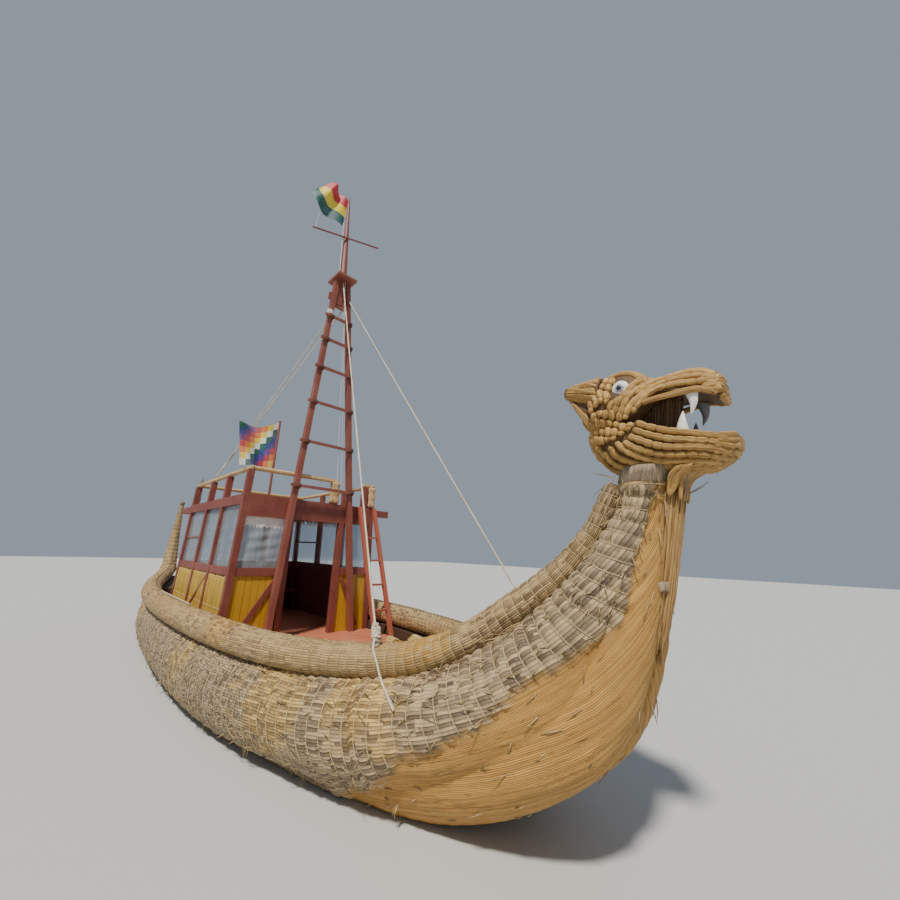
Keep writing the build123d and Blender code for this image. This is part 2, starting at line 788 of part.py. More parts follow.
bundles = {side: bundle_loft(side) for side in (-1, 1)}
pieces = {"deck_boards": deck_boards()}
for name, side in (("starboard", -1), ("port", 1)):
    pieces["hull_bundle_" + name] = [bundles[side] - well_zone()]
    pieces["gunwale_base_" + name] = [(bundles[side] & well_zone()) - deck_well()]
    pieces["gunwale_roll_" + name] = [tube(roll_rows(bundles[side], side))]
groups = [bow(bundles)]
groups += [group() for group in (
    head, cabin_sides, cabin_ends, roof_and_rail, mast, boarding_ladder, stays, flags, loose_things)]
for group in groups:
    for name, solids in group.items():
        pieces.setdefault(name, []).extend(solids)
export_all(pieces)
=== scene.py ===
import math
import random
import bpy
import bmesh
import numpy as np
from mathutils import Euler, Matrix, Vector, noise
from mathutils.bvhtree import BVHTree


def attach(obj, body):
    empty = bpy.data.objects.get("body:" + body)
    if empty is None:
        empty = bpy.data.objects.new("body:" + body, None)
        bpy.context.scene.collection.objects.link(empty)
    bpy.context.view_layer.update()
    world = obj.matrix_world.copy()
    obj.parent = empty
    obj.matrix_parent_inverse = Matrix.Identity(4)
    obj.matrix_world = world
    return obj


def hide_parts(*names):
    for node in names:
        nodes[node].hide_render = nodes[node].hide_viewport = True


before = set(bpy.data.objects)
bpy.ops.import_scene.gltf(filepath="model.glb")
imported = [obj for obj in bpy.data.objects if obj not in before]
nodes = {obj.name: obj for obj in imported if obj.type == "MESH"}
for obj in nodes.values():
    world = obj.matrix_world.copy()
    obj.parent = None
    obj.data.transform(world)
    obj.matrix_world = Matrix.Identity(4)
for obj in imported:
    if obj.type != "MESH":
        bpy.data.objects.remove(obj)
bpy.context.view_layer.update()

# Reed boat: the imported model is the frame, and the reeds, cords, paint and cloth are made here.
# Metres. +X to the bow, +Y to port, +Z up, the waterline at z = 0.

body = "root"
sides = {"starboard": -1, "port": 1}
print("scene: frame loaded,", len(nodes), "nodes")


# Mesh helpers

class Pile:
    # gathers tubes and grids, with the lay of their reeds, into one mesh
    def __init__(self, seed=1):
        self.points, self.faces, self.lay, self.count = [], [], [], 0
        self.random = random.Random(seed)

    def add(self, points, faces, lay):
        self.points.append(np.asarray(points, float))
        self.lay.append(np.asarray(lay, float))
        self.faces += (np.asarray(faces) + self.count).tolist()
        self.count += len(points)

    def build(self, name, material, slot, smooth=True, replaced=()):
        mesh = bpy.data.meshes.new(name)
        mesh.from_pydata(np.concatenate(self.points).tolist(), [], self.faces)
        values = np.concatenate(self.lay).astype(np.float32)
        layer = mesh.attributes.new("lay", "FLOAT_VECTOR", "POINT")
        layer.data.foreach_set("vector", values.ravel())
        mesh.polygons.foreach_set("use_smooth", [smooth] * len(mesh.polygons))
        mesh.materials.append(material)
        piece = bpy.data.objects.new(name, mesh)
        bpy.context.scene.collection.objects.link(piece)
        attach(piece, body)
        if replaced:
            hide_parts(*replaced)
        return piece


def gridFaces(rows, columns, closed=False):
    # quads of a grid of points; closed joins the last column to the first
    across = columns if closed else columns - 1
    row, column = np.meshgrid(np.arange(rows - 1), np.arange(across), indexing="ij")
    right = (column + 1) % columns
    corners = [row * columns + column, row * columns + right,
               (row + 1) * columns + right, (row + 1) * columns + column]
    return np.stack(corners, -1).reshape(-1, 4)


def smoothPath(points, step):
    # a smooth line through given points, sampled at an even step; extra columns are carried along
    points = np.asarray(points, float)
    padded = np.vstack([2 * points[0] - points[1], points, 2 * points[-1] - points[-2]])
    samples = []
    for index in range(1, len(padded) - 2):
        before, start, end, after = padded[index - 1:index + 3]
        for share in np.arange(0, 1, 0.05):
            samples.append(0.5 * (2 * start + (end - before) * share
                                  + (2 * before - 5 * start + 4 * end - after) * share ** 2
                                  + (3 * start - before - 3 * end + after) * share ** 3))
    samples = np.array(samples + [points[-1]])
    lengths = runLengths(samples[:, :3])
    count = max(2, int(round(lengths[-1] / step)) + 1)
    wanted = np.linspace(0, lengths[-1], count)
    return sampled(wanted, lengths, samples)


def framesAlong(points):
    # tangent and two directions across a line, turning as little as they can
    tangents = np.gradient(points, axis=0)
    tangents /= np.linalg.norm(tangents, axis=1)[:, None]
    across = np.cross(tangents[0], [0.0, 0.0, 1.0] if abs(tangents[0][2]) < 0.9 else [0.0, 1.0, 0.0])
    firsts, seconds = [], []
    for tangent in tangents:
        across = across - tangent * np.dot(across, tangent)
        across /= np.linalg.norm(across)
        firsts.append(across)
        seconds.append(np.cross(tangent, across))
    return tangents, np.array(firsts), np.array(seconds)


def sweep(pile, points, radii, around=8, tint=None, rounded=False, relief=None, flat=1.0):
    # a tube along a line; relief(length, angle) is a share added to the radius, flat squeezes one way
    points = np.asarray(points, float)
    radii = np.broadcast_to(np.asarray(radii, float), (len(points),)).copy()
    lengths = runLengths(points)
    if rounded:
        near = np.minimum(lengths, lengths[-1] - lengths) / np.maximum(radii, 1e-6)
        radii *= np.sqrt(np.clip(1 - (1 - np.clip(near, 0, 1)) ** 2, 0.02, 1))
    _, firsts, seconds = framesAlong(points)
    angles = np.linspace(0, 2 * math.pi, around, endpoint=False)
    reach = radii[:, None] * np.ones(around)[None, :]
    if relief is not None:
        reach *= 1 + relief(lengths[:, None], angles[None, :])
    ring = (points[:, None, :] + firsts[:, None, :] * (reach * np.cos(angles))[..., None]
            + seconds[:, None, :] * (reach * np.sin(angles) * flat)[..., None])
    tint = pile.random.random() if tint is None else tint
    girth = 2 * math.pi * radii.mean()
    lay = np.stack(np.broadcast_arrays(lengths[:, None], (angles / (2 * math.pi) * girth)[None, :], tint), -1)
    first = pile.count
    pile.add(ring.reshape(-1, 3), gridFaces(len(points), around, True), lay.reshape(-1, 3))
    last = pile.count - around
    pile.add([points[0], points[-1]], [], [[0, 0, tint], [lengths[-1], 0, tint]])
    for column in range(around):
        after = (column + 1) % around
        pile.faces.append([pile.count - 2, first + after, first + column])
        pile.faces.append([pile.count - 1, last + column, last + after])


def runLengths(points):
    # the distance along a line at each of its points
    return np.r_[0, np.cumsum(np.linalg.norm(np.diff(points, axis=0), axis=1))]


def sampled(wanted, lengths, points):
    # points of a line at the wanted distances
    return np.stack([np.interp(wanted, lengths, column) for column in np.transpose(points)], -1)


def evened(values, times=2):
    # softens a row of points, keeping its ends
    values = np.array(values, float)
    for _ in range(times):
        values[1:-1] = (values[:-2] + 2 * values[1:-1] + values[2:]) / 4
    return values


def table(rows, value):
    # reads a value off rows of two columns, straight between them
    return np.interp(value, [row[0] for row in rows], [row[1] for row in rows])


def smoothstep(value, low, high):
    share = np.clip((value - low) / (high - low), 0, 1)
    return share * share * (3 - 2 * share)


def circle(first, second, angles):
    # points at some angles on the unit circle through two directions
    return np.outer(np.cos(angles), first) + np.outer(np.sin(angles), second)


def surfaceOf(*names):
    # the CAD surface of some nodes, for casting rays at
    points, triangles = [], []
    for name in names:
        mesh = nodes[name].data
        start = len(points)
        points += [vertex.co.copy() for vertex in mesh.vertices]
        triangles += [[start + index for index in face.vertices] for face in mesh.polygons]
    return BVHTree.FromPolygons(points, triangles)


def islandsOf(name):
    # corner points of each separate solid of a node
    shape = bmesh.new()
    shape.from_mesh(nodes[name].data)
    bmesh.ops.remove_doubles(shape, verts=shape.verts, dist=1e-5)
    left, found = set(shape.verts), []
    while left:
        reached, queue = set(), [left.pop()]
        while queue:
            vertex = queue.pop()
            reached.add(vertex)
            for edge in vertex.link_edges:
                other = edge.other_vert(vertex)
                if other in left:
                    left.discard(other)
                    queue.append(other)
        found.append(np.array([vertex.co[:] for vertex in reached]))
    shape.free()
    return sorted(found, key=lambda points: tuple(points.mean(0).round(4)))


def lump(x, y, z, scale):
    # smooth noise from -1 to 1
    return noise.noise(Vector((x * scale, y * scale, z * scale)))


# Shader helpers

def put(tree, kind, values=None, **settings):
    # adds a node; a value is a number, a colour or the socket that feeds it
    node = tree.nodes.new("ShaderNode" + kind)
    for key, value in settings.items():
        setattr(node, key, value)
    for key, value in (values or {}).items():
        socket = node.inputs[key]
        if isinstance(value, bpy.types.NodeSocket):
            tree.links.new(value, socket)
        else:
            socket.default_value = value
    return node


def treeOf(*values):
    # the node tree that the sockets among the values belong to
    return next(value.id_data for value in values if isinstance(value, bpy.types.NodeSocket))


def math2(operation, first, second=0.0, clamp=False):
    node = put(treeOf(first, second), "Math", {0: first, 1: second}, operation=operation, use_clamp=clamp)
    return node.outputs[0]


def plus(first, second, clamp=False):
    return math2("ADD", first, second, clamp)


def minus(first, second, clamp=False):
    return math2("SUBTRACT", first, second, clamp)


def times(first, second, clamp=False):
    return math2("MULTIPLY", first, second, clamp)


def combined(x, y, z=0.0):
    return put(treeOf(x, y, z), "CombineXYZ", {0: x, 1: y, 2: z}).outputs[0]


def stretched(vector, shares):
    return put(treeOf(vector), "VectorMath", {0: vector, 1: shares}, operation="MULTIPLY").outputs[0]


def noiseOf(vector, scale, detail, roughness=0.5, distortion=0.0):
    return put(treeOf(vector), "TexNoise", {"Vector": vector, "Scale": scale, "Detail": detail,
                                            "Roughness": roughness, "Distortion": distortion}).outputs[0]


def placeOf(tree):
    return tree.nodes.new("ShaderNodeTexCoord").outputs["Object"]


def mixColour(factor, first, second, blend="MIX"):
    node = put(treeOf(factor, first, second), "Mix", {0: factor, 6: first, 7: second}, data_type="RGBA",
               blend_type=blend)
    return node.outputs[2]


def spread(value, low, high):
    # stretches a value so that low becomes 0 and high becomes 1
    return put(treeOf(value), "MapRange", {"Value": value, "From Min": low, "From Max": high}).outputs[0]


def colour(red, green, blue):
    return (red, green, blue, 1.0)


def newGroup(name, inputs, outputs):
    tree = bpy.data.node_groups.new(name, "ShaderNodeTree")
    for label, kind, value in inputs:
        socket = tree.interface.new_socket(label, in_out="INPUT", socket_type="NodeSocket" + kind)
        socket.default_value = value
    for label, kind in outputs:
        tree.interface.new_socket(label, in_out="OUTPUT", socket_type="NodeSocket" + kind)
    source = tree.nodes.new("NodeGroupInput").outputs
    sink = tree.nodes.new("NodeGroupOutput").inputs
    return tree, source, sink


def reedLayGroup():
    # reeds laid side by side: Along and Around in metres, one reed is Width wide and about Length long
    tree, source, sink = newGroup("reedLay", [
        ("Along", "Float", 0), ("Around", "Float", 0), ("Tint", "Float", 0),
        ("Width", "Float", 0.014), ("Length", "Float", 0.3), ("Ragged", "Float", 0.3)],
        [("Shade", "Float"), ("Gap", "Float"), ("Height", "Float"), ("Patch", "Float")])
    place = combined(source["Along"], source["Around"], source["Tint"])
    sway = noiseOf(place, 2.5, 2)
    shift = times(minus(sway, 0.5), 0.05)
    across = math2("DIVIDE", plus(source["Around"], shift), source["Width"])
    along = math2("DIVIDE", source["Along"], source["Length"])
    lane = math2("FLOOR", across)
    stagger = put(tree, "TexWhiteNoise", {"W": lane}, noise_dimensions="1D").outputs[0]
    piece = math2("FLOOR", plus(along, stagger))
    cell = combined(piece, lane, source["Tint"])
    shade = put(tree, "TexWhiteNoise", {"Vector": cell}, noise_dimensions="3D").outputs[0]
    inLane = math2("ABSOLUTE", minus(math2("FRACT", across), 0.5))
    ridge = math2("SQRT", minus(1.0, math2("POWER", times(inLane, 1.96), 2.0), True))
    fine = combined(times(source["Along"], 9.0), times(source["Around"], 90.0), source["Tint"])
    fibre = noiseOf(fine, 1.0, 4, 0.7)
    mixed = plus(times(shade, 0.6), times(fibre, 0.4))
    tree.links.new(mixed, sink["Shade"])
    # Gap is 1 in the groove between two reeds, where the shade there is painted into the colour
    tree.links.new(spread(ridge, 0.55, 0.15), sink["Gap"])
    lifted = times(minus(shade, 0.5), source["Ragged"])
    tall = plus(ridge, plus(lifted, times(fibre, 0.35)))
    tree.links.new(tall, sink["Height"])
    broad = noiseOf(place, 1.3, 3, 0.6)
    tree.links.new(spread(broad, 0.36, 0.66), sink["Patch"])
    return tree


def timberGroup():
    # grain drawn out along one direction, with worn edges and dull patches
    tree, source, sink = newGroup("timberGrain", [
        ("Stretch", "Vector", (40, 40, 3)), ("Wear", "Float", 0.4), ("Edge", "Float", 0.006)],
        [("Grain", "Float"), ("Worn", "Float"), ("Patch", "Float"), ("Height", "Float")])
    place = placeOf(tree)
    drawn = stretched(place, source["Stretch"])
    grain = noiseOf(drawn, 1.0, 6, 0.65, 0.4)
    patch = noiseOf(place, 2.2, 5, 0.7)
    chips = noiseOf(place, 34.0, 4, 0.75)
    bevel = put(tree, "Bevel", {"Radius": source["Edge"]}, samples=4).outputs[0]
    true = tree.nodes.new("ShaderNodeNewGeometry").outputs["True Normal"]
    facing = put(tree, "VectorMath", {0: bevel, 1: true}, operation="DOT_PRODUCT").outputs["Value"]
    edge = spread(facing, 0.995, 0.8)
    bare = plus(times(edge, 0.55), times(chips, 0.5))
    bare = plus(bare, times(minus(patch, 0.5), 0.5))
    limit = minus(0.95, times(source["Wear"], 0.5))
    worn = times(minus(bare, limit), 9.0, True)
    tree.links.new(grain, sink["Grain"])
    tree.links.new(worn, sink["Worn"])
    tree.links.new(spread(patch, 0.35, 0.68), sink["Patch"])
    tree.links.new(minus(grain, times(worn, 0.4)), sink["Height"])
    return tree


reedLay = reedLayGroup()
timberGrain = timberGroup()


def newMaterial(name, roughness=0.8):
    material = bpy.data.materials.new(name)
    material.use_nodes = True
    tree = material.node_tree
    shader = tree.nodes["Principled BSDF"]
    shader.inputs["Roughness"].default_value = roughness
    return material, tree, shader


def reedsOn(tree, lay, width, length, ragged):
    # the shared reed pattern on a mesh, by the lay of its reeds
    return put(tree, "Group", {"Along": lay[0], "Around": lay[1], "Tint": lay[2], "Width": width,
                               "Length": length, "Ragged": ragged}, node_tree=reedLay).outputs


def layOf(tree, name="lay"):
    vector = put(tree, "Attribute", attribute_name=name).outputs["Vector"]
    return put(tree, "SeparateXYZ", {0: vector}).outputs


def feed(tree, shader, tone, roughness, height=None, strength=1.0, distance=0.01):
    # gives a shader its colour and roughness, and its relief in metres
    tree.links.new(tone, shader.inputs["Base Color"])
    tree.links.new(roughness, shader.inputs["Roughness"])
    if height is not None:
        node = put(tree, "Bump", {"Height": height, "Strength": strength, "Distance": distance})
        tree.links.new(node.outputs[0], shader.inputs["Normal"])


reedLook = {
    "roughness": 0.72,
    "shades": (0.22, 0.8),  # what of a reed's own shade turns into its darkest and lightest tone
    "fadedShare": 0.75,
    "darkBundles": 0.45,  # how far the darkest bundle of reeds goes towards the dark tone
    # how far the painted shade between the reeds goes towards the dark tone
    "gapShadeShare": 0.8,
    "reliefShare": 0.35,  # height of a reed as a share of its width
}


def reedMaterial(name, dark, middle, light, width=0.014, length=0.3, ragged=0.4, bump=0.9, faded=None):
    # dry reed: painted shade in the gaps between the reeds, each reed its own tone, faded in patches; width and
    # length in metres
    material, tree, shader = newMaterial(name, reedLook["roughness"])
    lay = layOf(tree)
    reeds = reedsOn(tree, lay, width, length, ragged)
    base = mixColour(spread(reeds["Shade"], *reedLook["shades"]), colour(*middle), colour(*light))
    if faded is not None:
        base = mixColour(times(reeds["Patch"], reedLook["fadedShare"]), base, colour(*faded))
    own = times(math2("FRACT", times(lay[2], 7.13)), reedLook["darkBundles"])
    base = mixColour(own, base, mixColour(0.6, base, colour(*dark)))
    # painted shade in the gaps between the reeds
    final = mixColour(times(reeds["Gap"], reedLook["gapShadeShare"]), base, colour(*dark))
    feed(tree, shader, final, spread(reeds["Shade"], -1.2, 1.6), reeds["Height"], bump,
         width * reedLook["reliefShare"])
    return material


def timberMaterial(name, paint, bare, stretch, wear=0.4, roughness=0.55, dull=None):
    # painted or bare timber, its grain drawn out by the stretch
    material, tree, shader = newMaterial(name, roughness)
    wood = put(tree, "Group", {"Stretch": stretch, "Wear": wear}, node_tree=timberGrain).outputs
    shaded = mixColour(wood["Grain"], colour(*[part * 0.62 for part in paint]), colour(*paint))
    if dull is not None:
        shaded = mixColour(times(wood["Patch"], 0.6), shaded, colour(*dull))
    timberBare = mixColour(wood["Grain"], colour(*[part * 0.5 for part in bare]), colour(*bare))
    feed(tree, shader, mixColour(wood["Worn"], shaded, timberBare),
         plus(times(wood["Grain"], 0.3), roughness - 0.15), wood["Height"], 0.5, 0.004)
    return material


def finishNodes(names, material):
    # gives CAD nodes that stay in view their finish
    for name in names:
        nodes[name].data.materials.clear()
        nodes[name].data.materials.append(material)


grainUp, grainFore, grainAcross = (38, 38, 2.4), (2.4, 38, 38), (38, 2.4, 38)
timber = {
    # the paint, the bare wood under it, how far it is worn, a duller tone in patches, and its roughness
    "maroon": dict(paint=(0.2, 0.04, 0.026), bare=(0.36, 0.22, 0.13), wear=0.42, dull=(0.27, 0.085, 0.06)),
    "mast": dict(paint=(0.235, 0.055, 0.036), bare=(0.4, 0.25, 0.15), wear=0.5, dull=(0.3, 0.11, 0.075)),
    "deck": dict(paint=(0.56, 0.155, 0.07), bare=(0.47, 0.33, 0.22), wear=0.55, dull=(0.5, 0.22, 0.13),
                 roughness=0.6),
    "plank": dict(paint=(0.62, 0.345, 0.02), bare=(0.45, 0.27, 0.1), wear=0.25, dull=(0.45, 0.24, 0.018),
                  roughness=0.42),
    "ladder": dict(paint=(0.42, 0.1, 0.055), bare=(0.45, 0.3, 0.19), wear=0.5, dull=(0.33, 0.09, 0.06)),
    "pole": dict(paint=(0.5, 0.4, 0.27), bare=(0.62, 0.52, 0.38), wear=0.4, roughness=0.8),
}
maroonUp = timberMaterial("maroonTimberUp", stretch=grainUp, **timber["maroon"])
maroonFore = timberMaterial("maroonTimberFore", stretch=grainFore, **timber["maroon"])
maroonAcross = timberMaterial("maroonTimberAcross", stretch=grainAcross, **timber["maroon"])
mastUp = timberMaterial("mastTimberUp", stretch=grainUp, **timber["mast"])
mastAcross = timberMaterial("mastTimberAcross", stretch=grainAcross, **{**timber["mast"], "wear": 0.55})
deckPaint = timberMaterial("deckPaint", stretch=grainAcross, **timber["deck"])
yellowPlank = timberMaterial("yellowPlank", stretch=grainUp, **timber["plank"])
ladderTimber = timberMaterial("ladderTimber", stretch=grainUp, **timber["ladder"])
driedPole = timberMaterial("driedPole", stretch=grainFore, **timber["pole"])
timberOf = {
    "cabin_posts": maroonUp, "rail_posts": maroonUp, "cabin_side_beams": maroonFore, "cabin_sills": maroonFore,
    "cabin_cross_beams": maroonAcross, "cabin_header": maroonAcross, "cabin_braces": maroonAcross,
    "cabin_bench": maroonAcross, "roof_boards": maroonAcross, "mast_legs": mastUp, "mast_rungs": mastAcross,
    "mast_head_panel": mastUp, "mast_platform": mastAcross, "topmast": mastUp, "yard": mastAcross,
    "boarding_rails": ladderTimber, "boarding_rungs": ladderTimber, "deck_boards": deckPaint,
    "flag_pole": mastUp, "loose_pole": driedPole,
}
for name, material in timberOf.items():
    finishNodes([name], material)
print("scene: timber finished")


# Hull: a skin of laid reeds over each bundle, under a net of cords

hull = {
    # x and z of the roll seat, half breadth there, x and z of the keel: the planes that the cords lie in
    "planes": [
        (-7.15, 1.11, 0.3, -7.23, 0.64), (-6.55, 1.000, 0.48, -6.65, 0.24), (-5.55, 0.93, 0.77, -5.6, -0.08),
        (-4.15, 0.89, 1.09, -4.15, -0.3), (-2.1, 0.88, 1.37, -2.1, -0.4), (0.3, 0.88, 1.44, 0.3, -0.42),
        (2.3, 0.88, 1.31, 2.3, -0.38), (3.6, 0.9, 1.06, 3.75, -0.23), (4.56, 0.98, 0.7, 4.93, -0.02),
        (5.29, 1.226, 0.49, 5.94, 0.49), (5.81, 1.59, 0.35, 6.42, 1.02), (6.13, 1.88, 0.26, 6.62, 1.65),
        (6.37, 2.17, 0.2, 6.7, 2.08), (6.565, 2.6, 0.14, 6.79, 2.6)],
    "cordSpacing": [(-8, 0.17), (1.5, 0.14), (4.2, 0.125), (5.4, 0.105), (6.6, 0.085)],  # x, metres
    # x and z of the lower edge of the grey mat
    "matEdge": [(3.3, -0.6), (3.75, -0.28), (4.2, 0.02), (4.6, 0.26), (4.86, 0.43), (5.04, 0.57),
                (5.14, 0.638), (5.36, 0.723), (5.61, 0.875), (5.96, 1.183), (6.2, 1.409), (6.376, 1.566),
                (6.514, 1.677), (6.572, 1.876), (6.631, 2.133), (6.7, 2.4), (6.76, 2.62)],
    "matTop": 2.6,
    "matThickness": 0.03,
    "matPillow": 0.02,  # rise of the mat between two cords
    "matLump": 0.008,
    "matRow": 0.006,
    "looseReach": (3.4, 4.4),  # x over which the loose mat aft turns into the tight one
    "seams": (-6.2, -5.05, -3.7, -2.45, -1.25, -0.1, 0.95, 1.95, 2.85),  # x
    "seamDepth": 0.022,
    "seamWidth": 0.035,
    "goldenThickness": 0.01,
    "goldenRow": 0.008,
    "keelTuck": 0.012,
    "grooveUnderRoll": 0.075,
    "yellowPatches": [(3.55, 0.7, 0.5), (4.62, 0.82, 0.36), (1.35, 0.62, 0.3), (-2.9, 0.7, 0.35)],  # x, z, reach
    "rays": 90,
    "outerMargin": 0.1,  # a first hit counts from this far inside the roll seat
    "stepsPerBand": 5,
    "around": 96,
    "cordRadius": 0.0045,
    "cordsLostAft": (1.2, 0.45),  # aft of this x, this share of the cords is missing
    "wholeCordsFrom": 3.2,  # x
    "strays": 1500,
    "strayLengths": (0.05, 0.16),
    "strayRadii": [0.005, 0.0045, 0.002],
    "goldenStraysDropped": 0.75,
    "tuftReeds": 5,
    "tuftLengths": (0.08, 0.15),
    "tufts": [(2.09, -1.485, 0.354), (3.25, -1.265, 0.26), (3.86, -0.952, 0.131), (4.86, -0.711, 0.21),
              (0.4, -1.5, 0.2), (1.4, 1.5, 0.25), (3.6, 1.1, 0.18), (-2.6, 1.38, 0.25)],
    "strayReed": dict(dark=(0.12, 0.07, 0.03), middle=(0.36, 0.24, 0.1), light=(0.57, 0.42, 0.2), width=0.01,
                      length=0.4),
    "darkReed": dict(dark=(0.03, 0.018, 0.01), middle=(0.085, 0.052, 0.028), light=(0.16, 0.105, 0.058),
                     width=0.02, length=0.5),
    "netCord": dict(dark=(0.22, 0.15, 0.07), middle=(0.5, 0.37, 0.18), light=(0.74, 0.6, 0.34), width=0.004,
                    length=0.02),
    # width, length and raggedness of the reeds in the mat and on the golden part
    "matReeds": (0.023, 0.13, 1.3),
    "goldenReeds": (0.012, 1.3, 0.5),
    # the gap tones are painted shade between the reeds
    "matTones": dict(dark=(0.055, 0.032, 0.018), light=(0.59, 0.43, 0.235), patch=(0.28, 0.205, 0.125),
                     gap=(0.035, 0.022, 0.012)),
    "endTones": dict(light=(0.62, 0.5, 0.31), dark=(0.075, 0.048, 0.026), wash=(0.36, 0.27, 0.155)),
    "yellowTones": dict(dark=(0.2, 0.11, 0.025), light=(0.72, 0.46, 0.12)),
    "goldenTones": dict(dark=(0.36, 0.165, 0.026), light=(0.64, 0.365, 0.085), patch=(0.43, 0.24, 0.065),
                        gap=(0.11, 0.045, 0.01), streak=(0.155, 0.07, 0.018)),
}


def hullStations():
    # seat and keel points along the hull, a whole number of steps to each band between cords
    rows = [(x, half, z, keelX, keelZ) for x, z, half, keelX, keelZ in hull["planes"]]
    fine = smoothPath(rows, 0.01)
    lengths = runLengths(fine[:, :3])
    bands = np.r_[0, np.cumsum(np.diff(lengths) / table(hull["cordSpacing"], fine[1:, 0]))]
    wanted = np.arange(0, bands[-1], 1 / hull["stepsPerBand"])
    return sampled(wanted, bands, fine), np.interp(wanted, bands, lengths), wanted


def hullGrid(side, surface):
    # points on the bundle's outside, from under the roll down to the keel, with the distance round
    stations, lengths, bands = hullStations()
    grid, rounds = [], []
    for x, half, z, keelX, keelZ in stations:
        seat, keel = np.array([x, 0, z]), np.array([keelX, 0, keelZ])
        height = np.linalg.norm(seat - keel)
        up = (seat - keel) / height
        centre = keel + up * height * 0.45
        found = []
        for angle in np.linspace(math.atan2(0.86 * half, 0.55 * height), math.pi - 0.012, hull["rays"]):
            way = up * math.cos(angle) + np.array([0, side * math.sin(angle), 0])
            hit = surface.ray_cast(Vector(centre + way * 3), Vector(-way))[0]
            # near the roll only hits on the outer side count
            if hit is not None and (found or abs(hit[1]) > half - hull["outerMargin"]):
                found.append(hit[:])
        lengthsRound = runLengths(found)
        even = np.linspace(0, lengthsRound[-1], hull["around"])
        grid.append(sampled(even, lengthsRound, found))
        rounds.append(even)
    return np.array(grid), np.array(rounds), lengths, bands


def gridNormals(grid, side):
    along = np.gradient(grid, axis=0)
    across = np.gradient(grid, axis=1)
    normals = np.cross(along, across)
    normals /= np.maximum(np.linalg.norm(normals, axis=2), 1e-9)[..., None]
    middle = grid.shape[1] // 3
    return normals * np.sign(normals[:, middle, 1] * side)[:, None, None]


def matMask(grid):
    # 1 where the grey mat covers the bundle, 0 where the long golden reeds show
    edge = table(hull["matEdge"], grid[..., 0])
    ragged = np.array([[0.07 * lump(x, y, z, 3) + 0.06 * lump(x * 2, y, z * 5, 6) for x, y, z in row]
                       for row in grid])
    covered = smoothstep(grid[..., 2] - edge + ragged, -0.05, 0.05)
    return covered * smoothstep(hull["matTop"] - grid[..., 2] + ragged, -0.02, 0.04)


def skinRelief(side, grid, rounds, lengths, bands, mat, fuzzy, lumps):
    # how far the reeds stand out from the bundle, and 1 below the groove under the roll
    pillow = np.sqrt(np.abs(np.sin(math.pi * bands)))[:, None] * np.ones_like(mat)
    rows = np.array([[lump(length * 1.2, distance * 9, side, 4) for distance in row]
                     for length, row in zip(lengths, rounds)])
    seams = np.min([np.abs(grid[..., 0] - x - 0.10 * np.sin(rounds * 5 + x)) for x in hull["seams"]], axis=0)
    topEdge = smoothstep(rounds, hull["grooveUnderRoll"] * 0.5, hull["grooveUnderRoll"] * 1.3)
    keelEdge = smoothstep(rounds[:, -1:] - rounds, 0.0, 0.05)
    raised = mat * topEdge * (hull["matThickness"] + hull["matPillow"] * pillow * (1 - 0.6 * fuzzy)
                              + hull["matLump"] * lumps + hull["matRow"] * rows
                              - hull["seamDepth"] * fuzzy * (1 - smoothstep(seams, 0.0, hull["seamWidth"])))
    raised += (1 - mat) * (hull["goldenThickness"] + 0.006 * lumps + hull["goldenRow"] * rows)
    return raised * keelEdge - hull["keelTuck"] * (1 - keelEdge), topEdge


def yellowShare(grid, lumps):
    # 1 in the middle of the stretches of newer, yellow reed
    patches = np.zeros(grid.shape[:2])
    for x, z, reach in hull["yellowPatches"]:
        away = np.hypot((grid[..., 0] - x) * 0.8, grid[..., 2] - z)
        blotch = np.array([[lump(x, y * 2, z * 3, 3.1) for x, y, z in row] for row in grid])
        patches = np.maximum(patches, 1 - smoothstep(away + 0.25 * lumps + 0.5 * reach * blotch, reach * 0.3, reach))
    return patches


def netCords(side, shaped, normals, mat, topEdge):
    # one cord to each band, from the groove down to the mat's edge or, aft, to where it has frayed
    net = Pile(12)
    looseFrom, lost = hull["cordsLostAft"]
    for row in range(0, len(shaped), hull["stepsPerBand"]):
        station = shaped[row, :, 0].mean()
        if station < looseFrom and net.random.random() < lost:
            continue
        run = np.flatnonzero((mat[row] > 0.5) & (topEdge[row] > 0.6))
        if len(run) < 6:
            continue
        whole = station > hull["wholeCordsFrom"]
        last = run[-1] if whole else run[int((len(run) - 1) * net.random.uniform(0.45, 1))]
        points = (shaped + normals * 0.004)[row, run[0]:last + 1:2]
        sway = np.array([[0.012 * lump(row, index * 0.5, side, 0.37), 0, 0] for index in range(len(points))])
        sweep(net, points + sway, hull["cordRadius"], 4, tint=net.random.random())
    return net


def strayReeds(shaped, normals, mat):
    # loose ends that stand off the mat, and a few off the golden reeds
    strays = Pile(13)
    for _ in range(hull["strays"]):
        row = strays.random.randrange(2, len(shaped) - 2)
        column = strays.random.randrange(6, hull["around"] - 2)
        if mat[row, column] < 0.5 and strays.random.random() < hull["goldenStraysDropped"]:
            continue
        foot, normal = shaped[row, column], normals[row, column]
        along = shaped[row + 1, column] - shaped[row - 1, column]
        along /= np.linalg.norm(along)
        across = np.cross(normal, along)
        way = (along * strays.random.choice((-1, 1)) + across * strays.random.gauss(0, 0.35)
               + normal * strays.random.uniform(0.08, 0.4))
        way /= np.linalg.norm(way)
        long = strays.random.uniform(*hull["strayLengths"])
        sweep(strays, [foot - way * 0.01, foot + way * long * 0.5, foot + way * long - normal * 0.01],
              hull["strayRadii"], 3)
    return strays


